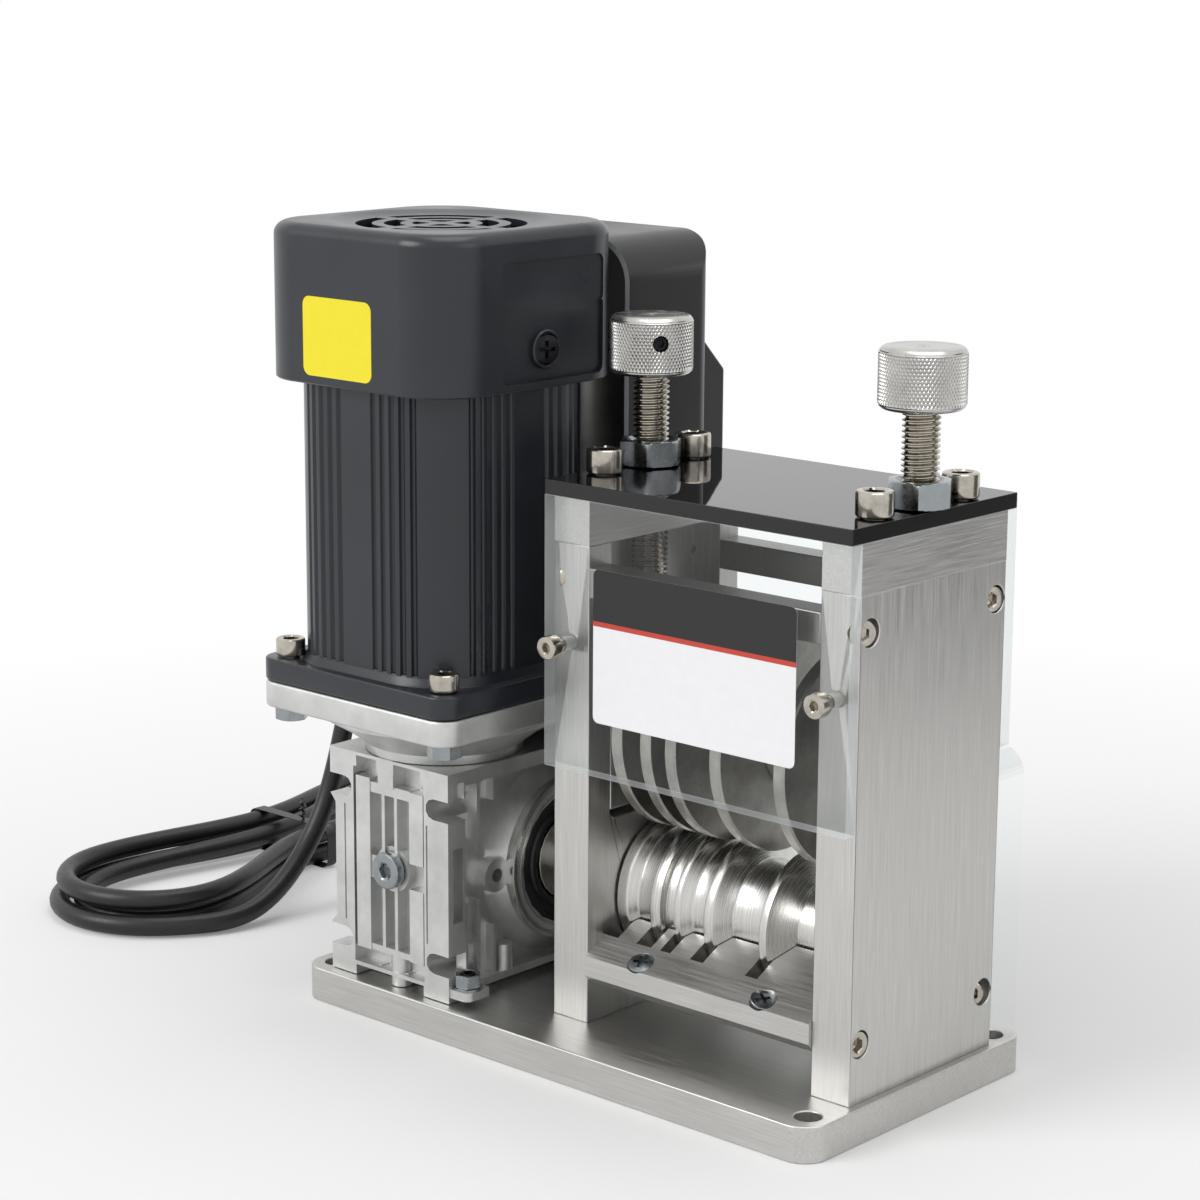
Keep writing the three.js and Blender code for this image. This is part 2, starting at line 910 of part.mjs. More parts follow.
function headScrews() {
  const screw = socketScrew(capScrew);
  let count = 0;
  for (const side of ['left', 'right']) {
    for (const y of coverScrewDepths) {
      count += 1;
      const placed = piece(headGroup, `cover_screw_${count}`, screw, 'nickelSteel');
      placed.position.set(plateCentre(side), y, headTop + cover.thick + gap);
    }
    const front = piece(
      headGroup, `${side}_shield_screw`, socketScrew(shieldScrew, sides.small), 'nickelSteel');
    front.rotation.x = Math.PI / 2;
    front.position.set(plateCentre(side), -shieldScrew.standOff, shield.screwHeight);
  }
}

// Drive: the worm gearbox

const outputAxis = [gearbox.centreDistance, feed.axisHeight];

function housingShell() {
  const half = gearbox.width / 2;
  const core = gearbox.coreHalfWidth;
  const front = -gearbox.front;
  const panel = front + gearbox.frontThick;
  const top = gearboxHeight;
  const foot = gap + gearbox.flangeThick;
  const shell = [
    block([-core, panel, gap], [core, gearbox.centreDistance, top]),
    rod('x', outputAxis, -core, core, gearbox.casingRadius, sides.wide),
    block([-half, front, gap], [half, gearbox.rear, foot]),
    block([-half, front, top - gearbox.flangeThick], [half, gearbox.rear - gearbox.front, top]),
    turned('x', outputAxis, [
      [core - overrun, 0],
      [core - overrun, gearbox.hubRootRadius],
      [core, gearbox.hubRootRadius],
      [gearbox.hubFace - gearbox.hubStep, gearbox.hubRadius],
      [gearbox.hubFace, gearbox.hubRadius],
      [gearbox.hubFace, 0],
    ], sides.wide),
    rod('x', [-sideBoss.forward, gearboxHeight / 2], core - overrun, core + sideBoss.height, sideBoss.radius),
    rod('y', [0, oilPlug.height], panel - oilPlug.bossHeight, panel + overrun, oilPlug.bossRadius),
  ];
  for (const side of [-1, 1]) {
    const edges = [side * half, side * (half - gearbox.columnWidth)].sort((a, b) => a - b);
    shell.push(block([edges[0], front, gap], [edges[1], panel + gearbox.columnWidth, top]));
  }
  for (const place of [-1, 0, 1]) {
    const middle = place * gearbox.ribPitch;
    const edge = gearbox.ribThick / 2;
    const low = [middle - edge, front + gearbox.ribThick, foot];
    shell.push(block(low, [middle + edge, panel + overrun, top - overrun]));
  }
  return union(shell);
}

function housingTools() {
  const half = gearbox.width / 2;
  const top = gearboxHeight;
  const bossFace = gearbox.coreHalfWidth + sideBoss.height;
  const tools = [
    rod('x', outputAxis, -half - overrun, gearbox.wheelCavityEnd, gearbox.wheelCavityRadius, sides.large),
    rod('x', outputAxis, 0, gearbox.hubFace + overrun, wormWheel.sleeveRadius + 2 * gap, sides.large),
    rod('x', outputAxis, gearbox.hubFace - gearbox.sealThick, gearbox.hubFace + overrun, gearbox.sealRadius,
      sides.large),
    rod('z', [0, 0], gearbox.wormCavityFloor, top + overrun, gearbox.wormCavityRadius),
    rod('y', [0, oilPlug.height], -gearbox.front, -gearbox.front + 2 * oilPlug.shankLength,
      oilPlug.shankRadius + gap, sides.small),
    rod('x', [-sideBoss.forward, gearboxHeight / 2], bossFace - sideBoss.holeDepth, bossFace + overrun,
      sideBoss.holeRadius, sides.small),
  ];
  const from = -gearbox.front - overrun;
  const to = -gearbox.front + gearbox.frontThick + gearbox.columnWidth + overrun;
  for (const side of [-1, 1]) {
    for (const z of [gearbox.notchFromEnd, top - gearbox.notchFromEnd]) {
      const inner = side * (half - gearbox.notchDepth);
      const outer = side * (half + overrun);
      const edges = [inner, outer].sort((a, b) => a - b);
      tools.push(rod('y', [inner, z], from, to, gearbox.notchRadius, sides.small));
      tools.push(block([edges[0], from, z - gearbox.notchRadius], [edges[1], to, z + gearbox.notchRadius]));
    }
  }
  return tools;
}

function gearboxPieces() {
  piece(driveGroup, 'gearbox_housing', cut(housingShell(), housingTools()), 'castAluminium');

  const seal = tube('x', outputAxis, gearbox.hubFace - gearbox.sealThick + gap, gearbox.hubFace - gap,
    gearbox.sealRadius - gap, wormWheel.sleeveRadius + gap, sides.large);
  piece(driveGroup, 'output_seal', seal, 'blackRubber');

  const coverFrom = -gearbox.coreHalfWidth - gap;
  const boreRadius = wormWheel.sleeveRadius + 2 * gap;
  const spigotRadius = gearbox.wheelCavityRadius - gap;
  const coverSolid = turned('x', outputAxis, [
    [coverFrom - hubCover.thick - gearbox.hubStep, boreRadius],
    [coverFrom - hubCover.thick - gearbox.hubStep, hubCover.stepRadius],
    [coverFrom - hubCover.thick, hubCover.stepRadius],
    [coverFrom - hubCover.thick, hubCover.radius],
    [coverFrom, hubCover.radius],
    [coverFrom, spigotRadius],
    [coverFrom + hubCover.spigotLength, spigotRadius],
    [coverFrom + hubCover.spigotLength, boreRadius],
    [coverFrom - hubCover.thick - gearbox.hubStep, boreRadius],
  ], sides.large);
  piece(driveGroup, 'hub_cover', coverSolid, 'castAluminium');

  const halfWheel = wormWheel.width / 2;
  const bore = feed.outputRadius + gap;
  const sleeveEnd = gearbox.hubFace;
  const wheel = turned('x', outputAxis, [
    [-sleeveEnd, bore],
    [-sleeveEnd, wormWheel.sleeveRadius],
    [-halfWheel, wormWheel.sleeveRadius],
    [-halfWheel, wormWheel.radius],
    [halfWheel, wormWheel.radius],
    [halfWheel, wormWheel.sleeveRadius],
    [sleeveEnd, wormWheel.sleeveRadius],
    [sleeveEnd, bore],
    [-sleeveEnd, bore],
  ], sides.large);
  piece(driveGroup, 'worm_wheel', wheel, 'bronze');

  const wormFrom = gearbox.wormCavityFloor + overrun;
  const wormTube = tube('z', [0, 0], wormFrom, wormFrom + worm.length, worm.radius, motor.shaftRadius + gap);
  piece(driveGroup, 'worm_shaft', wormTube, 'groundSteel');

  const plug = piece(driveGroup, 'oil_plug', socketScrew(oilPlug), 'zincSteel');
  plug.rotation.x = Math.PI / 2;
  plug.position.set(0, -gearbox.front + gearbox.frontThick - oilPlug.bossHeight - gap, oilPlug.height);
}

// Drive: the motor

const boltPlaces = [[-1, -1], [1, -1], [-1, 1], [1, 1]].map(([x, y]) =>
  [(x * boltPitch) / 2, (y * boltPitch) / 2]);

function motorAdaptor() {
  const from = gearboxHeight + gap;
  const neck = turned('z', [0, 0], [
    [from, 0],
    [from, adaptor.neckRadius],
    [flangeBottom, adaptor.neckTopRadius],
    [flangeBottom + overrun, adaptor.neckTopRadius],
    [flangeBottom + overrun, 0],
  ], sides.large);
  const flange = prism('z', roundedSquare(motorFlangeSize, motor.flangeRadius), flangeBottom, flangeTop);
  const holes = boltPlaces.map((place) =>
    rod('z', place, from - overrun, flangeTop + overrun, motorBolt.shankRadius + gap, sides.small));
  const bore = rod('z', [0, 0], from - overrun, flangeTop + overrun, adaptor.boreRadius);
  piece(driveGroup, 'motor_adaptor', cut(neck.add(flange), [bore, ...holes]), 'castAluminium');
}

// Upright flutes in one face of the motor, cut as narrow blocks
function fluteTools() {
  const tools = [];
  const face = motor.bodySize / 2;
  const top = motor.bodyTop - motor.bellHeight;
  for (let quarter = 0; quarter < 4; quarter++) {
    for (const side of [-1, 1]) {
      for (let i = 0; i < flutesPerGroup; i++) {
        const middle = side * (motor.fluteFirst + i * motor.flutePitch);
        const low = [middle - motor.fluteWidth / 2, face - motor.fluteDepth, bodyBottom];
        const high = [middle + motor.fluteWidth / 2, face + overrun, top];
        tools.push(block(low, high).rotate([0, 0, 90 * quarter]));
      }
    }
  }
  return union(tools);
}

function motorBody() {
  const flangeFrom = flangeTop + gap;
  const flange = prism('z', roundedSquare(motorFlangeSize, motor.flangeRadius), flangeFrom, bodyBottom);
  const body = prism('z', roundedSquare(motor.bodySize, motor.bodyRadius), flangeFrom, motor.bodyTop);
  const bellSize = motor.bodySize + 2 * motor.bellOverhang;
  const bellRadius = motor.bodyRadius + motor.bellOverhang;
  const bell = prism('z', roundedSquare(bellSize, cowl.cornerRadius - cowl.wall),
    motor.bodyTop - motor.bellHeight, motor.bodyTop);
  const bellCorners = prism('z', roundedSquare(bellSize, bellRadius), flangeFrom, motor.bodyTop);
  const holes = boltPlaces.map((place) =>
    rod('z', place, flangeFrom - overrun, bodyBottom + overrun, motorBolt.shankRadius + gap, sides.small));
  const shaftHole = rod(
    'z', [0, 0], flangeFrom - overrun, motor.boreFloor + overrun, motor.shaftRadius + gap);
  const cavity = rod('z', [0, 0], motor.boreFloor, motor.bodyTop + overrun, motorBoreRadius, sides.large);
  const shell = union([flange, body.subtract(fluteTools()), bell.intersect(bellCorners)]);
  piece(driveGroup, 'motor_body', cut(shell, [...holes, shaftHole, cavity]), 'motorGrey');
}

function motorInside() {
  const ring = tube('z', [0, 0], stator.bottom, stator.bottom + stator.height, motorBoreRadius - gap,
    statorInnerRadius, sides.large);
  piece(driveGroup, 'stator', ring, 'groundSteel');

  const rotorTop = rotor.bottom + rotor.height;
  const spindle = turned('z', [0, 0], [
    [rotor.shaftBottom, 0],
    [rotor.shaftBottom, motor.shaftRadius],
    [rotor.bottom, motor.shaftRadius],
    [rotor.bottom, rotorRadius],
    [rotorTop, rotorRadius],
    [rotorTop, motor.shaftRadius],
    [rotor.shaftTop, motor.shaftRadius],
    [rotor.shaftTop, 0],
  ]);
  piece(driveGroup, 'rotor', spindle, 'groundSteel');

  const wheel = [
    rod('z', [0, 0], fan.bottom, fan.bottom + fan.height, fan.hubRadius),
    rod('z', [0, 0], fan.bottom, fan.bottom + fan.discThick, fanRadius, sides.large),
  ];
  for (let i = 0; i < fanBladeCount; i++) {
    const half = fan.bladeThick / 2;
    const vane = block([0, -half, fan.bottom], [fanRadius - overrun, half, fan.bottom + fan.height]);
    wheel.push(vane.rotate([0, 0, (360 * i) / fanBladeCount]));
  }
  const bore = rod(
    'z', [0, 0], fan.bottom - overrun, fan.bottom + fan.height + overrun, motor.shaftRadius + gap);
  piece(driveGroup, 'cooling_fan', union(wheel).subtract(bore), 'blackPlastic');
}

function fanCowl() {
  const shape = roundedSquare(cowlSize - 2 * cowl.topRound, cowl.cornerRadius - cowl.topRound);
  const rounded = new THREE.ExtrudeGeometry(shape, {
    depth: cowl.top - cowl.bottom,
    bevelThickness: cowl.topRound,
    bevelSize: cowl.topRound,
    bevelSegments: 2,
    curveSegments: 3,
  });
  rounded.translate(0, 0, cowl.bottom - cowl.topRound);
  const half = cowlSize;
  const below = block([-half, -half, cowl.bottom - 2 * cowl.topRound - overrun], [half, half, cowl.bottom]);
  const inner = roundedSquare(cowlSize - 2 * cowl.wall, cowl.cornerRadius - cowl.wall);
  const tools = [below, prism('z', inner, cowl.bottom - overrun, cowl.top - cowl.wall)];
  const from = cowl.top - cowl.wall - overrun;
  const to = cowl.top + overrun;
  const slots = [];
  for (let i = 0; i < grilleSlots; i++) {
    const outer = cowl.grilleRadius - i * cowl.ringPitch;
    slots.push(tube('z', [0, 0], from, to, outer, outer - cowl.ringPitch + cowl.ringWidth, sides.large));
  }
  const spokes = [];
  for (let i = 0; i < grilleSpokes / 2; i++) {
    const bar = block(
      [-half, -cowl.spokeWidth / 2, from - overrun], [half, cowl.spokeWidth / 2, to + overrun]);
    spokes.push(bar.rotate([0, 0, 45 + (360 * i) / grilleSpokes]));
  }
  tools.push(cut(union(slots), spokes));
  piece(driveGroup, 'fan_cowl', cut(asSolid(rounded), tools), 'motorGrey');
}

function motorBolts() {
  const bolt = socketScrew(motorBolt);
  boltPlaces.forEach(([x, y], i) => {
    const placed = piece(driveGroup, `motor_bolt_${i + 1}`, bolt, 'nickelSteel');
    placed.position.set(x, y, bodyBottom + gap);
  });
}

// Control box, its switch and the cable gland

// A box drawn in by an inset on every side, with its two top edges and two rear edges rounded
function foldedBox(inset, front) {
  const half = box.width / 2 - inset;
  const top = box.height - inset;
  const topRadius = box.topRadius - inset;
  const elevation = new THREE.Shape();
  elevation.moveTo(-half, gap - (inset ? overrun : 0));
  elevation.lineTo(half, gap - (inset ? overrun : 0));
  elevation.absarc(half - topRadius, top - topRadius, topRadius, 0, Math.PI / 2);
  elevation.absarc(topRadius - half, top - topRadius, topRadius, Math.PI / 2, Math.PI);
  const rear = box.rear - inset;
  const rearRadius = box.rearRadius - inset;
  const plan = new THREE.Shape();
  plan.moveTo(-half, front);
  plan.lineTo(half, front);
  plan.absarc(half - rearRadius, rear - rearRadius, rearRadius, 0, Math.PI / 2);
  plan.absarc(rearRadius - half, rear - rearRadius, rearRadius, Math.PI / 2, Math.PI);
  return prism('y', elevation, front, rear).intersect(prism('z', plan, -overrun, box.height + overrun));
}

function controlBox() {
  const outer = foldedBox(0, box.front);
  const inner = foldedBox(box.sheet, box.front - overrun);
  const wall = -box.width / 2;
  const glandHole = rod('x', [box.front + gland.fromBoxFront, gland.height], wall - overrun,
    wall + box.sheet + overrun, gland.shankRadius + gap);
  piece(driveGroup, 'control_box', cut(outer, [inner, glandHole]), 'blackPaint');

  const canY = box.rear - box.sheet - gap - capacitor.radius;
  const can = rod('z', [0, canY], capacitorBottom, capacitorBottom + capacitor.height, capacitor.radius);
  piece(driveGroup, 'capacitor', can, 'castAluminium');
}

const switchHeight = switchHousing.bottom + switchHousing.height / 2 - switchHousing.slant / 2;

function switchPieces() {
  const from = box.rear + gap;
  const to = from + switchHousing.thick;
  const half = switchHousing.width / 2;
  const top = switchHousing.bottom + switchHousing.height;
  const shape = outline([
    [from, switchHousing.bottom],
    [to, switchHousing.bottom],
    [to, top - switchHousing.slant],
    [to - switchHousing.slant, top],
    [from, top],
  ]);
  const pocketHalf = switchHousing.pocketHeight / 2;
  const low = [-switchHousing.pocketWidth / 2, to - switchHousing.pocketDepth, switchHeight - pocketHalf];
  const high = [switchHousing.pocketWidth / 2, to + overrun, switchHeight + pocketHalf];
  const housing = prism('x', shape, -half, half).subtract(block(low, high));
  piece(driveGroup, 'switch_housing', housing, 'blackPlastic');

  const halfHeight = pocketHalf - rocker.sideGap;
  const halfWidth = switchHousing.pocketWidth / 2 - rocker.sideGap;
  const rockerShape = outline([
    [-rocker.depth + rocker.pivotDepth, -halfHeight / 2],
    [rocker.pivotDepth - rocker.crown, -halfHeight],
    [rocker.pivotDepth + rocker.crown / 2, -halfHeight],
    [rocker.pivotDepth - rocker.crown / 2, 0],
    [rocker.pivotDepth + rocker.crown / 2, halfHeight],
    [rocker.pivotDepth - rocker.crown, halfHeight],
    [-rocker.depth + rocker.pivotDepth, halfHeight / 2],
  ]);
  const button = piece(
    driveGroup, 'rocker_switch', prism('x', rockerShape, -halfWidth, halfWidth), 'blackPlastic');
  button.position.set(0, to - rocker.pivotDepth, switchHeight);
}

function cableGland() {
  const wall = -box.width / 2;
  const face = wall - gap;
  const profile = [
    [face - gland.length, 0],
    [face - gland.length, gland.tipRadius],
    [face - gland.flangeThick, gland.rootRadius],
    [face - gland.flangeThick, gland.flangeRadius],
    [face, gland.flangeRadius],
    [face, gland.shankRadius],
    [face + gland.shankLength, gland.shankRadius],
    [face + gland.shankLength, 0],
  ];
  const solid = turned('x', [box.front + gland.fromBoxFront, gland.height], profile);
  piece(driveGroup, 'cable_gland', solid, 'blackRubber');
}

// Mains cord: its free stretch, its hank and its plug

const asVector = ([x, y, z]) => new THREE.Vector3(x, y, z);

function mainsCord() {
  const path = new THREE.CatmullRomCurve3(cordRoute.map(asVector));
  const steps = Math.ceil(path.getLength() / (4 * cord.radius));
  const section = polygon(cordSides, cord.radius);
  const geometry = new THREE.ExtrudeGeometry(section, { steps, bevelEnabled: false, extrudePath: path });
  piece(model, 'mains_cord', asSolid(geometry), 'blackRubber');
}

const eased = (share) => share * share * (3 - 2 * share);

// Place along one flank of the hank, from its near end by way of the waist to its far end
function flankPlace(side, share, inset) {
  const nearX = hank.nearX + side * (hank.nearRadius - inset);
  const waistX = hank.waistX + side * (hank.waistHalf - inset);
  const farX = hank.farX + side * (hank.farRadius - inset);
  if (share <= 0.5) {
    const near = 2 * share;
    return [nearX + (waistX - nearX) * eased(near), hank.nearY + (hank.waistY - hank.nearY) * near];
  }
  const far = 2 * share - 1;
  return [waistX + (farX - waistX) * eased(far), hank.waistY + (hank.farY - hank.waistY) * far];
}

// Place of a station on the hank's loop: near end, left flank, far end, right flank
function hankPlace(station, inset) {
  const quarter = hankStations / 4;
  const share = (station % quarter) / quarter;
  const stretch = Math.floor(station / quarter) % 4;
  if (stretch === 1) return flankPlace(-1, share, inset);
  if (stretch === 3) return flankPlace(1, 1 - share, inset);
  const angle = Math.PI * (share - 0.5);
  if (stretch === 0) {
    const radius = hank.nearRadius - inset;
    return [hank.nearX - radius * Math.sin(angle), hank.nearY - radius * Math.cos(angle)];
  }
  const radius = hank.farRadius - inset;
  return [hank.farX + radius * Math.sin(angle), hank.farY + radius * Math.cos(angle)];
}

// Centre line of the hank: the loops spiral in on the lower layer and out again on the upper one
function hankLine() {
  const turns = hankSteps / hankStations;
  const line = [];
  for (let step = 0; step <= hankSteps; step++) {
    const turn = step / hankStations;
    const inset = hank.turnPitch * Math.min(turn, turns - turn);
    const climb = THREE.MathUtils.clamp(2 * (turn - turns / 2) + 0.5, 0, 1);
    const [x, y] = hankPlace(hankFirst + step, inset);
    line.push(new THREE.Vector3(x, y, cord.radius + gap + hank.layerPitch * eased(climb)));
  }
  const startAngle = Math.PI * (0.5 - (4 * hankFirst) / hankStations);
  const startWay = new THREE.Vector3(Math.cos(startAngle), Math.sin(startAngle), 0);
  const back = startWay.multiplyScalar(2 * cord.radius);
  const end = line.at(-1).clone();
  const middle = end.clone().setX(end.x + hank.tail / 2);
  return [line[0].clone().add(back), ...line, middle, end.setX(end.x + hank.tail)];
}

// A closed tube of rings about a line of points that lies nearly level
function ringTube(line, radius, count) {
  const up = new THREE.Vector3(0, 0, 1);
  const corners = [];
  line.forEach((place, i) => {
    const ahead = line[Math.min(i + 1, line.length - 1)].clone().sub(line[Math.max(i - 1, 0)]).normalize();
    const across = new THREE.Vector3().crossVectors(ahead, up).normalize();
    const above = new THREE.Vector3().crossVectors(across, ahead);
    for (let k = 0; k < count; k++) {
      const angle = (2 * Math.PI * k) / count;
      const corner = place.clone().addScaledVector(across, radius * Math.cos(angle));
      corners.push(...corner.addScaledVector(above, radius * Math.sin(angle)));
    }
  });
  const faces = [];
  for (let i = 0; i < line.length - 1; i++) {
    for (let k = 0; k < count; k++) {
      const here = i * count + k;
      const next = i * count + ((k + 1) % count);
      faces.push(here, here + count, next, next, here + count, next + count);
    }
  }
  const last = (line.length - 1) * count;
  for (let k = 1; k < count - 1; k++) {
    faces.push(0, k, k + 1, last, last + k + 1, last + k);
  }
  const geometry = new THREE.BufferGeometry();
  geometry.setAttribute('position', new THREE.Float32BufferAttribute(corners, 3));
  geometry.setIndex(faces);
  return geometry;
}

// Least gap between stretches of the hank that are over half a loop apart, measured on points
function leastGap(line) {
  const perStep = 8;
  const points = [];
  for (let i = 0; i < line.length - 1; i++) {
    for (let k = 0; k < perStep; k++) points.push(line[i].clone().lerp(line[i + 1], k / perStep));
  }
  const apart = (perStep * hankStations) / 2;
  let least = Infinity;
  for (let i = 0; i < points.length; i++) {
    for (let j = i + apart; j < points.length; j++) least = Math.min(least, points[i].distanceTo(points[j]));
  }
  return least - 2 * cord.radius;
}

function cordHank() {
  const line = hankLine();
  console.log(`cord_hank: least gap to itself ${leastGap(line).toFixed(2)} mm`);
  piece(model, 'cord_hank', asSolid(ringTube(line, cord.radius, hankSides)), 'blackRubber');
}

function mainsPlug() {
  const end = hankLine().at(-1);
  const from = end.x + gap;
  const faceFrom = from + plug.bootLength;
  const faceTo = faceFrom + plug.length;
  const boot = turned('x', [end.y, end.z], [
    [from, 0],
    [from, plug.bootRadius],
    [faceFrom + overrun, plug.bootRootRadius],
    [faceFrom + overrun, 0],
  ]);
  const halfWidth = plug.width / 2;
  const halfHeight = plug.height / 2;
  const shape = roundedRectangle(end.y - halfWidth, end.z - halfHeight, end.y + halfWidth, end.z + halfHeight,
    plug.cornerRadius);
  const pins = [-1, 1].map((side) =>
    rod('x', [end.y + (side * plug.pinPitch) / 2, end.z], faceTo - overrun, faceTo + plug.pinLength,
      plug.pinRadius, sides.small));
  piece(model, 'plug', union([boot, prism('x', shape, faceFrom, faceTo), ...pins]), 'blackPlastic');
}

// Build

basePlate();
for (const side of ['left', 'right']) {
  sidePlate(side);
  topBar(side);
  feedBearing(side);
  bearingBlock(side);
  adjusterScrew(side);
  knob(side);
  lockNut(side);
}
topCover();
shields();
rearGuideBlock();
tieBars();
feedRoller();
guideComb();
bladeShaft();
blades();
headScrews();
gearboxPieces();
motorAdaptor();
motorBody();
motorInside();
fanCowl();
motorBolts();
controlBox();
switchPieces();
cableGland();
mainsCord();
cordHank();
mainsPlug();

export default model;
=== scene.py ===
"""Wire stripping machine: fine shapes, finishes and the mains cord around its packed frame."""

import json
import math

import bmesh
import bpy
from mathutils import Matrix, Vector

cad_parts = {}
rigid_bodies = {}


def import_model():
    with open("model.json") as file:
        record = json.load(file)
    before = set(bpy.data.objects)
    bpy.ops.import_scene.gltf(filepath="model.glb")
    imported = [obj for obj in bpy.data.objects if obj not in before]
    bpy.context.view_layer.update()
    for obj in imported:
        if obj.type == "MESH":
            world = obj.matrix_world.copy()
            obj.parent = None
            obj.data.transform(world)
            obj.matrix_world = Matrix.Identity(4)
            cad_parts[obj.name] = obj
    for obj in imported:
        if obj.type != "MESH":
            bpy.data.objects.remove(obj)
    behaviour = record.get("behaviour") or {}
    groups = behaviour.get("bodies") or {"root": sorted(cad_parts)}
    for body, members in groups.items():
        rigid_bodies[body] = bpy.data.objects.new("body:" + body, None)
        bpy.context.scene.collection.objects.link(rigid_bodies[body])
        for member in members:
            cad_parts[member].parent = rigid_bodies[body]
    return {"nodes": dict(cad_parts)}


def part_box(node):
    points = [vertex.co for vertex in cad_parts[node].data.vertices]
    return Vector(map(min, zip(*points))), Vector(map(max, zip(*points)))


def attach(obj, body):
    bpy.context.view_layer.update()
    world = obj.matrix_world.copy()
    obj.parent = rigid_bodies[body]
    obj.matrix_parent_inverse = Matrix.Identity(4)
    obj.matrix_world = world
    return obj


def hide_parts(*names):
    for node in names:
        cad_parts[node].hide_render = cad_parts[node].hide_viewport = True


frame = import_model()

bl_info = {
    "name": "Wire Stripping Machine",
    "version": (1, 0, 0),
    "blender": (4, 5, 0),
    "location": "3D View > Sidebar > Stripper",
    "description": "Dresses the frame of a wire stripping machine with fine shapes and finishes",
    "category": "Object",
}

MM = 0.001


def middle(node):
    """Middle of a frame piece's box."""
    low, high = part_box(node)
    return (low + high) / 2


# Places that come from the frame

PLATES = {side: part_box(f"{side}_side_plate") for side in ("left", "right")}
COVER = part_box("top_cover")
FEED_AXIS = middle("left_feed_bearing").yz
BLADE_AXIS = middle("blade_1").yz
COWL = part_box("fan_cowl")
DRIVE_AXIS = middle("fan_cowl").xy
KNOBS = {side: middle(f"{side}_knob") for side in ("left", "right")}
SIDES = {"left": -1, "right": 1}


def linear(code):
    """Linear RGBA of an sRGB hex colour."""
    channels = [int(code[i:i + 2], 16) / 255 for i in (1, 3, 5)]
    return tuple(c / 12.92 if c <= 0.04045 else ((c + 0.055) / 1.055) ** 2.4 for c in channels) + (1.0,)


def colour(code, name, description):
    """Colour property with an sRGB hex default."""
    return bpy.props.FloatVectorProperty(
        name=name, description=description, subtype="COLOR", size=4, min=0, max=1, default=linear(code))


def length(value, name, description):
    """Length property with its default in millimetres."""
    return bpy.props.FloatProperty(
        name=name, description=description, unit="LENGTH", min=0, default=value * MM)


def power(value, name, description):
    """Lamp power property in watts."""
    return bpy.props.FloatProperty(name=name, description=description, unit="POWER", min=0, default=value)


class StripperColours(bpy.types.PropertyGroup):
    """Colours of the machine's finishes."""

    aluminium: colour("#cccbc8", "Aluminium", "Machined aluminium plates and turned parts")
    casting: colour("#cbccca", "Casting", "Die-cast aluminium of the gearbox")
    steel: colour("#a09e99", "Ground steel", "Blades, arbor and bearing rings")
    nickel: colour("#bdb7ac", "Nickel", "Nickel-plated screws")
    zinc: colour("#989da0", "Zinc", "Zinc-plated nuts and plug")
    motor: colour("#22262c", "Motor paint", "Dark blue-grey paint of the motor")
    gloss: colour("#0c0c0e", "Gloss black", "Black acrylic of the top cover")
    coat: colour("#121315", "Black coat", "Powder coat of the control box")
    cord: colour("#101011", "Cord", "Jacket of the mains cord")
    card: colour("#f3f3f5", "Card", "White of the blank card on the shield")
    band: colour("#161617", "Card band", "Dark band along the card's top")
    line: colour("#c8402f", "Card line", "Thin line below the card's band")
    sticker: colour("#f2e21c", "Sticker", "Plain yellow sticker on the cowl")


class StripperFasteners(bpy.types.PropertyGroup):
    """Sizes of the screws, nuts and threads."""

    cover_head: length(12, "Cover screw head", "Diameter of the heads on the top cover")
    cover_depth: length(8, "Cover screw height", "Height of the heads on the top cover")
    side_head: length(8.5, "Side screw head", "Diameter of the heads in the side plates")
    shield_head: length(7.8, "Shield screw head", "Diameter of the heads in front of the shield")
    motor_head: length(10, "Motor bolt head", "Diameter of the heads on the motor's flange")
    comb_head: length(8.4, "Comb screw head", "Diameter of the cross-recess heads on the guide comb")
    thread_pitch: length(1.75, "Thread pitch", "Pitch of the two adjusting screws")


class StripperKnobs(bpy.types.PropertyGroup):
    """Shape of the knurled knobs."""

    count: bpy.props.IntProperty(name="Knurl count", description="Diamonds round a knob", min=12, default=66)
    pitch: length(2.2, "Knurl pitch", "Height of one diamond of the knurl")
    depth: length(0.42, "Knurl depth", "Depth of the knurl's grooves")
    rim: length(1.7, "Plain rim", "Height of the plain rim above and below the knurl")
    set_hole: length(5.2, "Set screw hole", "Diameter of the set screw's hole in the left knob")


class StripperCord(bpy.types.PropertyGroup):
    """Sizes of the mains cord and the hank that it is put away in."""

    diameter: length(7.6, "Cord diameter", "Outer diameter of the jacket")
    length: length(1495, "Cord length", "Real length of the cord from gland to plug")
    turn_pitch: length(9.4, "Turn pitch", "How far each loop of the hank lies inside the last")
    layer_pitch: length(8.3, "Layer pitch", "Height of the hank's upper layer above its lower one")
    tie_width: length(5, "Tie width", "Width of the tie round the hank")


class StripperStage(bpy.types.PropertyGroup):
    """Floor, light and camera."""

    lens: bpy.props.FloatProperty(
        name="Lens", description="Focal length", subtype="DISTANCE_CAMERA", default=91.09)
    floor: colour("#f3f3f3", "Floor", "Pale floor under the machine")
    key_power: power(28, "Key", "Power of the key lamp")
    fill_power: power(4, "Fill", "Power of the side lamp")
    top_power: power(10, "Top", "Power of the top lamp")
    ambient: bpy.props.FloatProperty(name="Ambient", description="Light from all round", min=0, default=0.48)


def colours():
    return bpy.context.scene.stripper_colours


# Materials


def add_node(tree, kind, inputs=None, **settings):
    """Add a node with its settings; an input is a value or the socket it is linked to."""
    node = tree.nodes.new(kind)
    for key, value in settings.items():
        setattr(node, key, value)
    for key, value in (inputs or {}).items():
        if isinstance(value, bpy.types.NodeSocket):
            tree.links.new(value, node.inputs[key])
        else:
            node.inputs[key].default_value = value
    return node


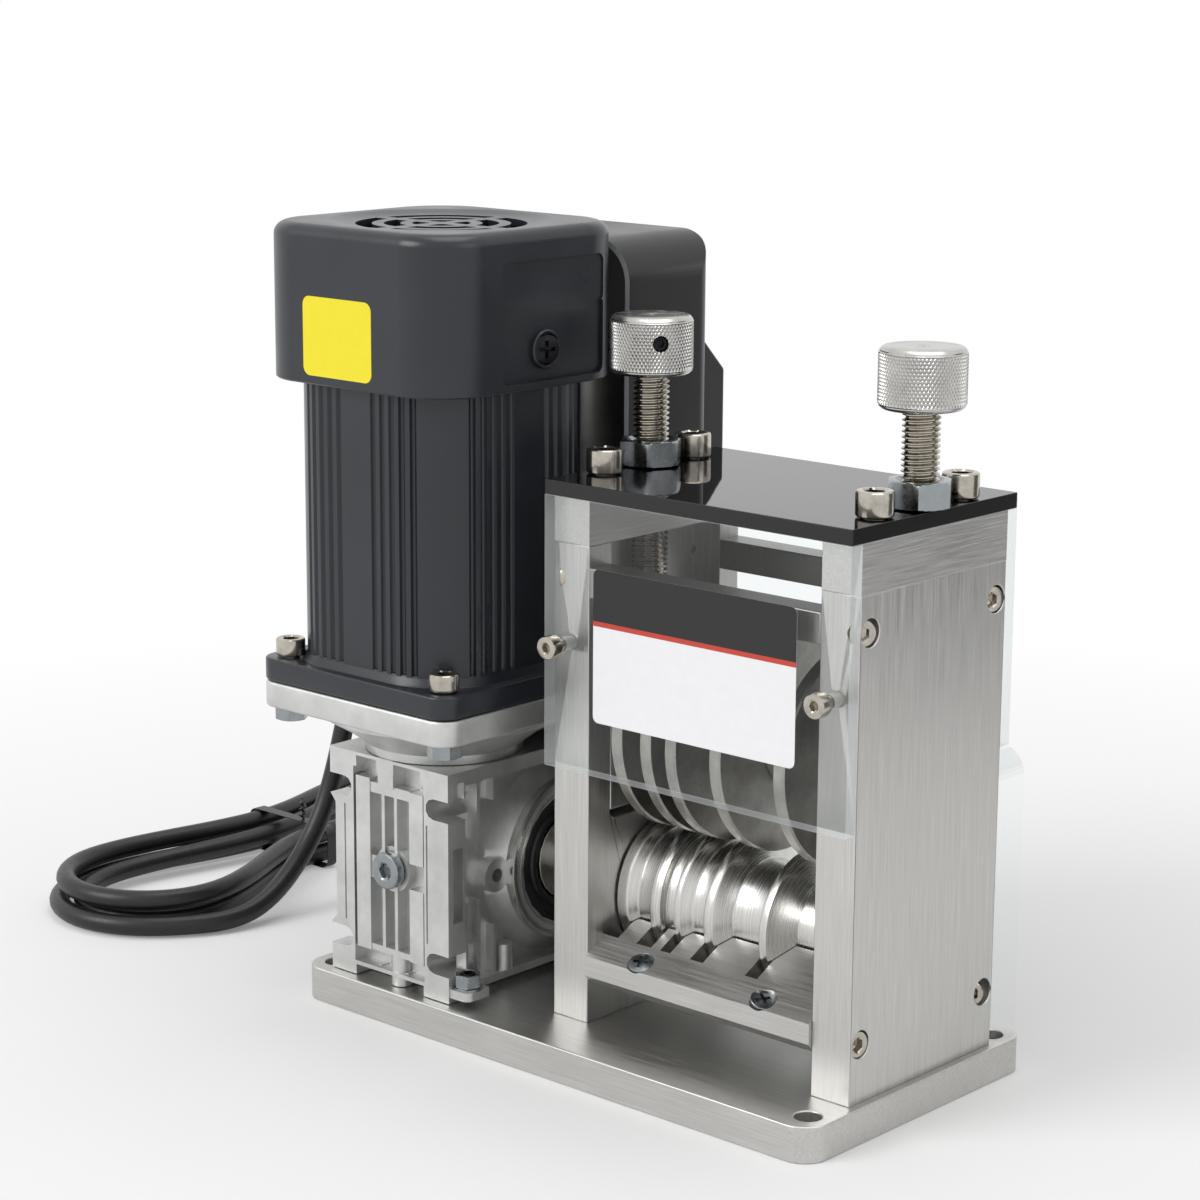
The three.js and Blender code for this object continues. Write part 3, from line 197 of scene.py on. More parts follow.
def worked(tree, operation, *values, kind="ShaderNodeMath", **settings):
    """First output of a node that works an operation on values or sockets, in their order."""
    return add_node(tree, kind, dict(enumerate(values)), operation=operation, **settings).outputs[0]


def noise(tree, sizes, detail=2.0, roughness=0.5, vector=None):
    """Noise whose grain has the given size in millimetres along each axis; returns its factor."""
    if vector is None:
        vector = add_node(tree, "ShaderNodeTexCoord").outputs["Object"]
    scale = tuple(1 / (size * MM) for size in sizes)
    mapping = add_node(tree, "ShaderNodeMapping", {"Vector": vector, "Scale": scale})
    texture = add_node(tree, "ShaderNodeTexNoise", {
        "Vector": mapping.outputs["Vector"], "Scale": 1.0, "Detail": detail, "Roughness": roughness})
    return texture.outputs["Fac"]


def blend(tree, share, first, second):
    """Colour a share of the way from one colour to another."""
    return add_node(tree, "ShaderNodeMix", {0: share, 6: first, 7: second}, data_type="RGBA").outputs[2]


def spread(tree, pattern, first, second, start=0.3, end=0.7, amount=1.0):
    """A pattern's stretch from start to end, spread between two numbers or two colours."""
    plain = isinstance(first, (int, float))
    share = add_node(tree, "ShaderNodeMapRange", {
        "Value": pattern, "From Min": start, "From Max": end,
        "To Min": first if plain else 0.0, "To Max": second if plain else amount}).outputs["Result"]
    return share if plain else blend(tree, share, first, second)


def shade(value, gain):
    """A colour made lighter or darker."""
    return tuple(min(1.0, channel * gain) for channel in value[:3]) + (1.0,)


def skin(tree, tone, rough, relief=None, **sockets):
    """Shader with a colour, a roughness and a relief of (pattern, depth in millimetres, strength)."""
    sockets |= {"Base Color": tone, "Roughness": rough}
    if relief:
        height, depth, strength = relief
        bump = {"Height": height, "Distance": depth * MM, "Strength": strength}
        sockets["Normal"] = add_node(tree, "ShaderNodeBump", bump).outputs["Normal"]
    return add_node(tree, "ShaderNodeBsdfPrincipled", sockets).outputs["BSDF"]


def brushed_aluminium(tree, grain, gain=1.0):
    """Machined aluminium, belt-brushed along one axis: fine straight streaks that stretch highlights."""
    # Real brush lines are about 0.1 mm apart; they are drawn 0.5 mm apart so that they show
    fine = [0.5, 0.5, 0.5]
    fine[grain] = 26
    coarse = [2.2, 2.2, 2.2]
    coarse[grain] = 70
    streaks = noise(tree, fine, 3.0, 0.65)
    # A gain below one darkens the whole finish; on the milled bars this is painted shade
    base = shade(colours().aluminium, gain)
    lines = spread(tree, streaks, shade(base, 0.80), shade(base, 1.16), 0.25, 0.75)
    tone = spread(tree, noise(tree, coarse), lines, shade(base, 0.86), amount=0.35)
    return skin(tree, tone, spread(tree, streaks, 0.30, 0.46), (streaks, 0.02, 0.5), Metallic=1.0)


def turned_aluminium(tree):
    """Aluminium bar turned on a lathe: rings of tool lines that draw bright bands along a round."""
    spot = add_node(tree, "ShaderNodeTexCoord").outputs["Object"]
    offset = (0, -FEED_AXIS[0], -FEED_AXIS[1])
    moved = add_node(tree, "ShaderNodeMapping", {"Vector": spot, "Location": offset}).outputs["Vector"]
    across = worked(tree, "MULTIPLY", moved, (0, 1, 1), kind="ShaderNodeVectorMath")
    away = add_node(tree, "ShaderNodeVectorMath", {0: across}, operation="LENGTH").outputs["Value"]
    along = add_node(tree, "ShaderNodeSeparateXYZ", {"Vector": moved}).outputs["X"]
    unrolled = add_node(tree, "ShaderNodeCombineXYZ", {"X": away, "Y": along}).outputs["Vector"]
    # Tool lines are about 0.15 mm apart; they are drawn 0.45 mm apart so that they show
    rings = noise(tree, (0.45, 0.45, 0.45), 3.0, 0.6, unrolled)
    base = colours().aluminium
    tone = spread(tree, rings, shade(base, 0.86), shade(base, 1.18))
    return skin(tree, tone, spread(tree, rings, 0.20, 0.34), (rings, 0.02, 0.5), Metallic=1.0)


def spun_aluminium(tree):
    """Turned and knurled aluminium of a small knob: bright crests and a faint cloudiness."""
    clouds = noise(tree, (5, 5, 5))
    base = colours().aluminium
    tone = spread(tree, clouds, shade(base, 0.78), shade(base, 0.92))
    return skin(tree, tone, spread(tree, clouds, 0.22, 0.30), Metallic=1.0)


def cast_aluminium(tree):
    """Die-cast aluminium, shot-blasted: a soft silver sheen with fine pits and flow marks."""
    grit = noise(tree, (0.7, 0.7, 0.7), 3.0, 0.6)
    clouds = noise(tree, (14, 14, 14), 3.0, 0.6)
    base = colours().casting
    tone = spread(tree, clouds, shade(base, 0.88), shade(base, 1.12))
    tone = spread(tree, grit, tone, shade(base, 0.45), 0.36, 0.24, 0.5)
    return skin(tree, tone, spread(tree, grit, 0.36, 0.50), (grit, 0.06, 0.6), Metallic=0.9)


def ground_steel(tree):
    """Hardened steel, ground and handled: dull grey with dark specks and faint stains."""
    specks = noise(tree, (0.9, 0.9, 0.9), 4.0, 0.7)
    clouds = noise(tree, (9, 9, 9), 3.0, 0.6)
    base = colours().steel
    tone = spread(tree, clouds, shade(base, 0.85), shade(base, 1.25))
    tone = spread(tree, specks, tone, shade(base, 0.28), 0.40, 0.30, 0.8)
    return skin(tree, tone, spread(tree, clouds, 0.30, 0.42), (specks, 0.02, 0.4), Metallic=1.0)


def plated(tree, base, rough, stain):
    """Plated steel, from a barrel: a bright skin with faint stains and small dents."""
    clouds = noise(tree, (3.5, 3.5, 3.5), 3.0, 0.6)
    dents = noise(tree, (1.6, 1.6, 1.6))
    tone = spread(tree, clouds, shade(base, 1.0), shade(base, stain), 0.35, 0.75)
    return skin(tree, tone, spread(tree, dents, rough, rough + 0.10), (dents, 0.03, 0.5), Metallic=1.0)


def painted(tree, base, rough, grain, depth):
    """Baked enamel or powder coat: an even colour with the skin of an orange in its gloss."""
    peel = noise(tree, (grain, grain, grain))
    clouds = noise(tree, (30, 30, 30))
    tone = spread(tree, clouds, shade(base, 0.90), shade(base, 1.12))
    return skin(tree, tone, spread(tree, clouds, rough, rough + 0.08), (peel, depth, 0.6))


def gloss_acrylic(tree):
    """Cast black acrylic sheet with its polished faces: a mirror gloss with a slow wave in it."""
    base = colours().gloss
    tone = blend(tree, noise(tree, (40, 40, 40)), shade(base, 0.8), shade(base, 1.3))
    # Sawn edges stay matt, the faces that the sheet was cast with are polished
    facing = add_node(tree, "ShaderNodeNewGeometry").outputs["True Normal"]
    upright = add_node(tree, "ShaderNodeSeparateXYZ", {"Vector": facing}).outputs["Z"]
    level = worked(tree, "ABSOLUTE", upright)
    return skin(tree, tone, spread(tree, level, 0.24, 0.03, 0.6, 0.95), IOR=1.49)


def clear_acrylic(tree, axes):
    """Cast clear acrylic: faces square to the named axes are polished, other faces look frosted."""
    saw = noise(tree, (0.6, 0.6, 9))
    tone = blend(tree, saw, linear("#dfe5e5"), linear("#f4f8f8"))
    frosted = skin(tree, tone, spread(tree, saw, 0.30, 0.42), IOR=1.49)
    side = add_node(tree, "ShaderNodeNewGeometry").outputs
    split = add_node(tree, "ShaderNodeSeparateXYZ", {"Vector": side["True Normal"]}).outputs
    polish = 0.0
    for axis in axes:
        polish = worked(tree, "MAXIMUM", worked(tree, "ABSOLUTE", split[axis]), polish)
    polish = spread(tree, polish, 0.0, 1.0, 0.90, 0.99)
    through = add_node(tree, "ShaderNodeBsdfTransparent", {"Color": linear("#feffff")}).outputs[0]
    mirror = add_node(tree, "ShaderNodeBsdfGlossy", {"Roughness": 0.02}).outputs[0]
    gloss = add_node(tree, "ShaderNodeFresnel", {"IOR": 1.49}).outputs[0]
    # The way through is straight, so only the face that the light enters by has a gloss
    gloss = worked(tree, "MULTIPLY", gloss, worked(tree, "SUBTRACT", 1.0, side["Backfacing"]))
    clear = add_node(tree, "ShaderNodeMixShader", {0: gloss, 1: through, 2: mirror}).outputs[0]
    milky = add_node(tree, "ShaderNodeMixShader", {0: 0.45, 1: through, 2: frosted}).outputs[0]
    return add_node(tree, "ShaderNodeMixShader", {0: polish, 1: milky, 2: clear}).outputs[0]


def moulded(tree, base, rough, grain=0.8):
    """Injection-moulded plastic or rubber: a fine spark-eroded grain."""
    pores = noise(tree, (grain, grain, grain), 3.0, 0.6)
    tone = spread(tree, pores, shade(base, 0.85), shade(base, 1.2))
    return skin(tree, tone, spread(tree, pores, rough, rough + 0.12), (pores, 0.04, 0.5))


def printed(tree, base):
    """Printed vinyl film: an even ink with a slight unevenness in its varnish."""
    varnish = noise(tree, (4, 4, 4))
    tone = blend(tree, varnish, shade(base, 0.97), shade(base, 1.03))
    return skin(tree, tone, spread(tree, varnish, 0.35, 0.43), (varnish, 0.02, 0.3))


# Each finish with the record's slot that it belongs to
FINISHES = {
    "brushed_along_x": ("brushed_aluminium", lambda tree: brushed_aluminium(tree, 0)),
    "brushed_along_y": ("brushed_aluminium", lambda tree: brushed_aluminium(tree, 1)),
    "brushed_along_z": ("brushed_aluminium", lambda tree: brushed_aluminium(tree, 2)),
    # Milled bars: the brushed aluminium darkened to 0.55, painted shade for the shade that the bars sit in
    "milled_bar": ("brushed_aluminium", lambda tree: brushed_aluminium(tree, 2, 0.55)),
    "turned_roller": ("turned_aluminium", turned_aluminium),
    "spun_aluminium": ("turned_aluminium", spun_aluminium),
    "die_cast_aluminium": ("cast_aluminium", cast_aluminium),
    "hardened_steel": ("ground_steel", ground_steel),
    "nickel_plate": ("nickel_steel", lambda tree: plated(tree, colours().nickel, 0.12, 0.72)),
    "zinc_plate": ("zinc_steel", lambda tree: plated(tree, colours().zinc, 0.18, 0.86)),
    "black_oxide": ("zinc_steel", lambda tree: plated(tree, linear("#2a2a2c"), 0.30, 0.6)),
    "cast_bronze": ("bronze", lambda tree: plated(tree, linear("#a98550"), 0.30, 0.8)),
    "motor_enamel": ("motor_grey", lambda tree: painted(tree, colours().motor, 0.27, 1.1, 0.05)),
    "powder_coat": ("black_paint", lambda tree: painted(tree, colours().coat, 0.30, 0.8, 0.04)),
    "primed_edge": ("black_paint", lambda tree: painted(tree, linear("#b4b6b9"), 0.40, 0.8, 0.02)),
    "gloss_black_acrylic": ("gloss_black", gloss_acrylic),
    "cast_clear_sheet": ("clear_acrylic", lambda tree: clear_acrylic(tree, "Y")),
    "cast_clear_block": ("clear_acrylic", lambda tree: clear_acrylic(tree, "XYZ")),
    "nitrile_rubber": ("black_rubber", lambda tree: moulded(tree, linear("#121213"), 0.42)),
    "pvc_jacket": ("black_rubber", lambda tree: moulded(tree, colours().cord, 0.34, 1.6)),
    "moulded_plastic": ("black_plastic", lambda tree: moulded(tree, linear("#1a1a1c"), 0.36)),
    "white_film": ("black_plastic", lambda tree: printed(tree, colours().card)),
    "dark_film": ("black_plastic", lambda tree: printed(tree, colours().band)),
    "red_film": ("black_plastic", lambda tree: printed(tree, colours().line)),
    "yellow_film": ("black_plastic", lambda tree: printed(tree, colours().sticker)),
}


def shaded(holder, output, shader_of):
    """A material or world whose shader is made in its own node tree."""
    holder.use_nodes = True
    tree = holder.node_tree
    tree.nodes.clear()
    add_node(tree, output, {"Surface": shader_of(tree)})
    return holder


def material_of(name, shader_of):
    """A new material with its shader."""
    return shaded(bpy.data.materials.new(name), "ShaderNodeOutputMaterial", shader_of)


def finish(name):
    """The named finish, made when it is first asked for."""
    return bpy.data.materials.get(name) or material_of(name, FINISHES[name][1])


# Shapes


def new_object(name, data):
    piece = bpy.data.objects.new(name, data)
    bpy.context.scene.collection.objects.link(piece)
    return piece


def mesh_of(bm, name):
    """A new mesh from a finished edit mesh."""
    mesh = bpy.data.meshes.new(name)
    bm.to_mesh(mesh)
    bm.free()
    return mesh


def taken(holder):
    """The evaluated mesh of an object, whose object is then removed."""
    bpy.context.view_layer.update()
    graph = bpy.context.evaluated_depsgraph_get()
    mesh = bpy.data.meshes.new_from_object(holder.evaluated_get(graph), depsgraph=graph)
    bpy.data.objects.remove(holder)
    return mesh


def cleaned(mesh, turn=True):
    """Merge a mesh's doubles and turn its faces outwards."""
    bm = bmesh.new()
    bm.from_mesh(mesh)
    bmesh.ops.remove_doubles(bm, verts=bm.verts, dist=1e-6)
    bmesh.ops.dissolve_degenerate(bm, edges=bm.edges, dist=1e-7)
    if turn:
        bmesh.ops.recalc_face_normals(bm, faces=bm.faces)
    bm.to_mesh(mesh)
    bm.free()
    return mesh


def smoothed(mesh, angle=34):
    """Shade a mesh smooth except across edges sharper than an angle in degrees."""
    mesh.shade_smooth()
    mesh.set_sharp_from_angle(angle=math.radians(angle))
    return mesh


def flat_to_light(holder):
    """The mesh of an object, with its large flat faces kept flat to the light."""
    holder.modifiers.new("weighted", "WEIGHTED_NORMAL").keep_sharp = True
    return taken(holder)


def levelled(mesh):
    """Shade a mesh smooth but keep its large flat faces flat to the light."""
    return flat_to_light(new_object("levelled", smoothed(mesh)))


def piece_of(name, mesh, material, body, *nodes):
    """A finished piece that rides on a body and stands for the named nodes."""
    piece = new_object(name, mesh)
    mesh.materials.clear()
    mesh.materials.append(finish(material))
    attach(piece, body)
    if nodes:
        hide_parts(*nodes)
    return piece


def fine_piece(node, mesh, material):
    """A finished piece that rides as one frame piece does and stands for it."""
    body = frame["nodes"][node].parent.name.removeprefix("body:")
    return piece_of(f"{node}_fine", mesh, material, body, node)


def on_axis(axis, centre, along, u, v):
    """Place at a distance along an axis through a centre, and off it by u and v."""
    if axis == "x":
        return Vector((along, centre[0] + u, centre[1] + v))
    if axis == "y":
        return Vector((centre[0] + u, along, centre[1] + v))
    return Vector((centre[0] + u, centre[1] + v, along))


def offsets(origin, *points):
    """Profile points in millimetres past an origin: along, radius and any width across flats."""
    return [(origin + point[0] * MM, *(value * MM for value in point[1:])) for point in points]


def eased(profile, radius, points=3):
    """A profile of (along, radius) pairs with its corners rounded."""
    spots = [Vector(point[:2]) for point in profile]
    result = [tuple(spots[0])]
    for before, here, after in zip(spots, spots[1:], spots[2:]):
        back, ahead = before - here, after - here
        reach = min(radius, 0.45 * back.length, 0.45 * ahead.length)
        start, end = here + back.normalized() * reach, here + ahead.normalized() * reach
        for i in range(points):
            share = i / (points - 1)
            bend = start.lerp(here, share).lerp(here.lerp(end, share), share)
            result.append(tuple(bend))
    result.append(tuple(spots[-1]))
    return result


def turned(axis, centre, profile, steps=72, loop=False):
    """Solid of revolution from points (along, radius) or (along, radius, width across flats)."""
    bm = bmesh.new()
    rings = []
    for along, radius, *flats in profile:
        ring = []
        for i in range(steps if radius > 0 else 1):
            angle = 2 * math.pi * i / steps
            reach = radius
            if flats:
                reach = min(radius, flats[0] / 2 / math.cos(angle % (math.pi / 3) - math.pi / 6))
            spot = on_axis(axis, centre, along, reach * math.cos(angle), reach * math.sin(angle))
            ring.append(bm.verts.new(spot))
        rings.append(ring)
    pairs = list(zip(rings, rings[1:]))
    if loop:
        pairs.append((rings[-1], rings[0]))
    for a, b in pairs:
        for i in range(steps):
            j = (i + 1) % steps
            corners = [a[i % len(a)], a[j % len(a)], b[j % len(b)], b[i % len(b)]]
            corners = list(dict.fromkeys(corners))
            if len(corners) > 2:
                bm.faces.new(corners)
    return cleaned(mesh_of(bm, "turned"))


def rod(axis, centre, low, high, radius, steps=56):
    """Plain rod, used as a cutting tool and for small bosses."""
    return turned(axis, centre, [(low, 0), (low, radius), (high, radius), (high, 0)], steps)


def block(low, high):
    """Plain block, used as raw stock and as a cutting tool."""
    bm = bmesh.new()
    bmesh.ops.create_cube(bm, size=1)
    low, high = Vector(low), Vector(high)
    for vert in bm.verts:
        vert.co = Vector(low[i] + (vert.co[i] + 0.5) * (high[i] - low[i]) for i in range(3))
    return mesh_of(bm, "block")


def lofted(rings):
    """Closed solid through rings of equally many places."""
    bm = bmesh.new()
    rings = [[bm.verts.new(spot) for spot in ring] for ring in rings]
    count = len(rings[0])
    for a, b in zip(rings, rings[1:]):
        for i in range(count):
            j = (i + 1) % count
            bm.faces.new((a[i], a[j], b[j], b[i]))
    bm.faces.new(rings[0])
    bm.faces.new(rings[-1])
    return cleaned(mesh_of(bm, "lofted"))


def stacked(levels):
    """Closed solid through outlines of equal length, each at its own height."""
    return lofted([[(u, v, z) for u, v in outline] for z, outline in levels])


def circle(centre, radius, steps=48):
    return [(centre[0] + radius * math.cos(2 * math.pi * i / steps),
             centre[1] + radius * math.sin(2 * math.pi * i / steps)) for i in range(steps)]


def rounded(low, high, radii, steps=10):
    """Rectangle with a rounding at each corner: lower left, lower right, upper right, upper left."""
    if not isinstance(radii, (tuple, list)):
        radii = (radii,) * 4
    corners = ((low[0], low[1], 1, 1), (high[0], low[1], -1, 1),
               (high[0], high[1], -1, -1), (low[0], high[1], 1, -1))
    points = []
    for k, ((u, v, du, dv), radius) in enumerate(zip(corners, radii)):
        if radius == 0:
            points.append((u, v))
            continue
        for i in range(steps + 1):
            angle = math.pi * (1 + k / 2 + i / steps / 2)
            points.append((u + du * radius + radius * math.cos(angle),
                           v + dv * radius + radius * math.sin(angle)))
    return points


SHEET_AXES = {
    "x": Matrix(((0, 0, 1), (1, 0, 0), (0, 1, 0))),
    "y": Matrix(((1, 0, 0), (0, 0, -1), (0, 1, 0))),
    "z": Matrix.Identity(3),
}


def sheet(axis, loops, low, high, edge=0.0):
    """Plate cut to an outline with holes, between two places along an axis, with rounded edges."""
    curve = bpy.data.curves.new("sheet", "CURVE")
    curve.dimensions = "2D"
    curve.fill_mode = "BOTH"
    curve.extrude = (high - low) / 2 - edge
    curve.bevel_depth = edge
    curve.bevel_resolution = 2
    curve.offset = -edge
    for loop in loops:
        spline = curve.splines.new("POLY")
        spline.points.add(len(loop) - 1)
        for point, (u, v) in zip(spline.points, loop):
            point.co = (u, v, 0, 1)
        spline.use_cyclic_u = True
    mesh = taken(new_object("sheet", curve))
    turn = SHEET_AXES[axis].to_4x4()
    shift = Vector((0, 0, 0))
    shift["xyz".index(axis)] = (low + high) / 2
    mesh.transform(Matrix.Translation(shift) @ turn)
    return cleaned(mesh)


def carved(body, tools, operation="DIFFERENCE"):
    """A mesh cut by, or kept inside, other meshes."""
    holder = new_object("carved", body)
    helpers = [new_object("tool", tool) for tool in tools]
    for helper in helpers:
        step = holder.modifiers.new("cut", "BOOLEAN")
        step.operation = operation
        step.solver = "EXACT"
        step.object = helper
    mesh = taken(holder)
    for helper in helpers:
        bpy.data.objects.remove(helper)
    return cleaned(mesh, turn=False)


def joined(meshes):
    """Several closed meshes as one mesh."""
    bm = bmesh.new()
    for mesh in meshes:
        bm.from_mesh(mesh)
    return mesh_of(bm, "joined")


def softened(mesh, width, angle=32):
    """Round a mesh's sharp edges and keep its flat faces flat to the light."""
    bm = bmesh.new()
    bm.from_mesh(mesh)
    bmesh.ops.remove_doubles(bm, verts=bm.verts, dist=1e-6)
    bmesh.ops.dissolve_limit(bm, angle_limit=math.radians(0.5), verts=bm.verts, edges=bm.edges)
    bmesh.ops.connect_verts_concave(bm, faces=bm.faces)
    bm.to_mesh(mesh)
    bm.free()
    holder = new_object("softened", smoothed(mesh, 40))
    bevel = holder.modifiers.new("bevel", "BEVEL")
    bevel.width = width
    bevel.segments = 2
    bevel.limit_method = "ANGLE"
    bevel.angle_limit = math.radians(angle)
    bevel.miter_outer = "MITER_ARC"
    return flat_to_light(holder)


def copy_of(node):
    """A frame piece's mesh with its doubles merged."""
    return cleaned(frame["nodes"][node].data.copy(), turn=False)


def dressed(node, material, width):
    """A frame piece with its edges rounded by a width in millimetres, which stands for the plain one."""
    return fine_piece(node, softened(copy_of(node), width * MM), material)


# Geometry Nodes


def shape_tree(name, inputs):
    """Geometry Nodes tree with named inputs and a finish; returns it with its input sockets."""
    tree = bpy.data.node_groups.new(name, "GeometryNodeTree")
    for label, kind in {"Geometry": "Geometry", **inputs, "Finish": "Material"}.items():
        tree.interface.new_socket(name=label, in_out="INPUT", socket_type=f"NodeSocket{kind}")
    tree.interface.new_socket(name="Geometry", in_out="OUTPUT", socket_type="NodeSocketGeometry")
    return tree, add_node(tree, "NodeGroupInput").outputs


def end_tree(tree, given, geometry):
    """End a tree in real geometry that has its finish."""
    real = add_node(tree, "GeometryNodeRealizeInstances", {"Geometry": geometry}).outputs[0]
    done = add_node(tree, "GeometryNodeSetMaterial", {"Geometry": real, "Material": given["Finish"]})
    add_node(tree, "NodeGroupOutput", {"Geometry": done.outputs[0]})
    return tree


def grown(mesh, tree, **values):
    """A mesh put through a tree, whose inputs are set by their sockets' identifiers."""
    holder = new_object("grown", mesh)
    modifier = holder.modifiers.new("shape", "NODES")
    modifier.node_group = tree
    for item in tree.interface.items_tree:
        if item.in_out == "INPUT" and item.name in values:
            modifier[item.identifier] = values[item.name]
    return taken(holder)


def copies_tree():
    """Tree that puts a copy of a template on each point, turned as the point says."""
    tree, given = shape_tree("copies_on_points", {"Template": "Object", "Size": "Float"})
    template = add_node(tree, "GeometryNodeObjectInfo", {"Object": given["Template"]})
    turn = add_node(tree, "GeometryNodeInputNamedAttribute", {"Name": "turn"}, data_type="FLOAT_VECTOR")
    angles = add_node(tree, "FunctionNodeEulerToRotation", {"Euler": turn.outputs["Attribute"]})
    copied = add_node(tree, "GeometryNodeInstanceOnPoints", {
        "Points": given["Geometry"],
        "Instance": template.outputs["Geometry"],
        "Rotation": angles.outputs["Rotation"],
        "Scale": given["Size"],
    })
    return end_tree(tree, given, copied.outputs["Instances"])


def copies(name, template, places, turns, material, body, *nodes):
    """One piece made of a template's copies on places, each turned by its Euler angles."""
    points = bpy.data.meshes.new(name)
    points.from_pydata([tuple(place) for place in places], [], [])
    attribute = points.attributes.new("turn", "FLOAT_VECTOR", "POINT")
    for value, turn in zip(attribute.data, turns):
        value.vector = turn
    pattern = new_object("template", template)
    tree = bpy.data.node_groups.get("copies_on_points") or copies_tree()
    mesh = grown(points, tree, Template=pattern, Size=1.0, Finish=finish(material))
    bpy.data.objects.remove(pattern)
    return piece_of(name, mesh, material, body, *nodes)


def knurl_tree():
    """Tree that presses a diamond knurl into a round band about Z."""
    inputs = {"Centre": "Vector"} | dict.fromkeys(("Count", "Pitch", "Depth", "Low", "High"), "Float")
    tree, given = shape_tree("diamond_knurl", inputs)
    place = add_node(tree, "GeometryNodeInputPosition").outputs[0]
    moved = worked(tree, "SUBTRACT", place, given["Centre"], kind="ShaderNodeVectorMath")
    split = add_node(tree, "ShaderNodeSeparateXYZ", {0: moved}).outputs
    height = add_node(tree, "ShaderNodeSeparateXYZ", {0: place}).outputs["Z"]
    around = worked(tree, "MULTIPLY", worked(tree, "ARCTAN2", split["Y"], split["X"]), given["Count"])
    around = worked(tree, "DIVIDE", around, 2 * math.pi)
    rise = worked(tree, "DIVIDE", height, given["Pitch"])
    waves = []
    for way in ("ADD", "SUBTRACT"):
        phase = worked(tree, "PINGPONG", worked(tree, way, around, rise), 0.5)
        waves.append(worked(tree, "MULTIPLY", phase, 2.0))
    land = worked(tree, "MULTIPLY", worked(tree, "MINIMUM", *waves), 1.7)
    groove = worked(tree, "MAXIMUM", worked(tree, "SUBTRACT", 1.0, land), 0.0)
    above = worked(tree, "GREATER_THAN", height, given["Low"])
    inside = worked(tree, "MULTIPLY", above, worked(tree, "LESS_THAN", height, given["High"]))
    flat = add_node(tree, "ShaderNodeCombineXYZ", {0: split["X"], 1: split["Y"]}).outputs[0]
    outward = worked(tree, "NORMALIZE", flat, kind="ShaderNodeVectorMath")
    depth = worked(tree, "MULTIPLY", worked(tree, "MULTIPLY", groove, inside), given["Depth"])
    depth = worked(tree, "MULTIPLY", depth, -1.0)
    offset = add_node(tree, "ShaderNodeVectorMath", {0: outward, "Scale": depth}, operation="SCALE")
    pressed = add_node(tree, "GeometryNodeSetPosition", {
        "Geometry": given["Geometry"], "Offset": offset.outputs[0]})
    return end_tree(tree, given, pressed.outputs[0])


# Fasteners


def cap_screw(head, height, flats, depth, shank, reach, steps=48):
    """Socket cap screw along Z with its head on the plane Z = 0."""
    rim, corner = head / 2, 0.09 * head
    socket, floor = 2 * flats, height - depth
    profile = [(-reach, 0), (-reach, shank / 2), (0, shank / 2)]
    profile += eased([(0, shank / 2), (0, rim), (height, rim), (height, flats * 0.62)], corner, 4)[1:-1]
    profile += [(height, flats * 0.66), (height - 0.04 * head, socket, flats), (floor, socket, flats)]
    profile.append((floor - 0.12 * flats, 0))
    return smoothed(turned("z", (0, 0), profile, steps), 30)


def hex_nut(flats, height, bore, steps=72):
    """Chamfered hexagon nut along Z from the plane Z = 0."""
    corner = flats / 2 / math.cos(math.pi / 6)
    ease = 0.5 * (corner - flats / 2)
    start = flats / 2 * 0.97
    rings = []
    for share in (0.0, 0.35, 0.7, 1.0):
        rings.append((share * ease, start + (corner - start) * math.sin(share * math.pi / 2), flats))
    top = [(height - along, radius, across) for along, radius, across in reversed(rings)]
    flare, chamfer = bore + 0.08 * flats, 0.07 * flats
    inner = [(height, flare), (height - chamfer, bore), (chamfer, bore), (0, flare)]
    return smoothed(turned("z", (0, 0), rings + top + inner, steps, loop=True), 30)


def cross_screw(head):
    """Countersunk cross-recess screw along Z with its rim on the plane Z = 0."""
    shares = ((-0.7, 0), (-0.7, 0.25), (-0.1, 0.46), (0, 0.5), (0.03, 0.48), (0.07, 0.3), (0.08, 0))
    profile = [(along * head, radius * head) for along, radius in shares]
    arm, reach, deep = 0.065 * head, 0.3 * head, -0.14 * head
    cross = [block((-reach, -arm, deep), (reach, arm, head)), block((-arm, -reach, deep), (arm, reach, head))]
    return smoothed(carved(turned("z", (0, 0), profile, 48), cross), 30)


def threaded(centre, radius, pitch, low, high, steps=36):
    """Threaded rod along Z whose rows of corners follow the helix."""
    depth = 0.6 * pitch
    form = (0.0, 0.0, 0.5, 1.0, 1.0, 0.5)
    rows = len(form)
    count = math.ceil((high - low) / pitch + 1) * rows
    bm = bmesh.new()
    grid = []
    for row in range(count + 1):
        reach = radius - depth * form[row % rows]
        line = []
        for i in range(steps):
            angle = 2 * math.pi * i / steps
            along = min(max(low + pitch * (row / rows + i / steps - 1), low), high)
            fade = min(1.0, (along - low) / pitch + 0.3, (high - along) / pitch + 0.3)
            r = reach if fade >= 1 else min(reach, radius - depth * (1 - fade))
            spot = on_axis("z", centre, along, r * math.cos(angle), r * math.sin(angle))
            line.append(bm.verts.new(spot))
        grid.append(line)
    for row in range(count):
        for i in range(steps):
            if i + 1 < steps:
                corners = (grid[row][i], grid[row][i + 1], grid[row + 1][i + 1], grid[row + 1][i])
            elif row + 1 + rows <= count:
                corners = (grid[row][i], grid[row + rows][0], grid[row + 1 + rows][0], grid[row + 1][i])
            else:
                continue
            bm.faces.new(corners)
    bmesh.ops.remove_doubles(bm, verts=bm.verts, dist=1e-6)
    bmesh.ops.dissolve_degenerate(bm, edges=bm.edges, dist=1e-6)
    rims = [edge for edge in bm.edges if edge.is_boundary]
    bmesh.ops.holes_fill(bm, edges=rims, sides=0)
    bmesh.ops.recalc_face_normals(bm, faces=bm.faces)
    return smoothed(mesh_of(bm, "thread"), 50)


# Stage

WHITE = (1.0, 1.0, 1.0, 1.0)


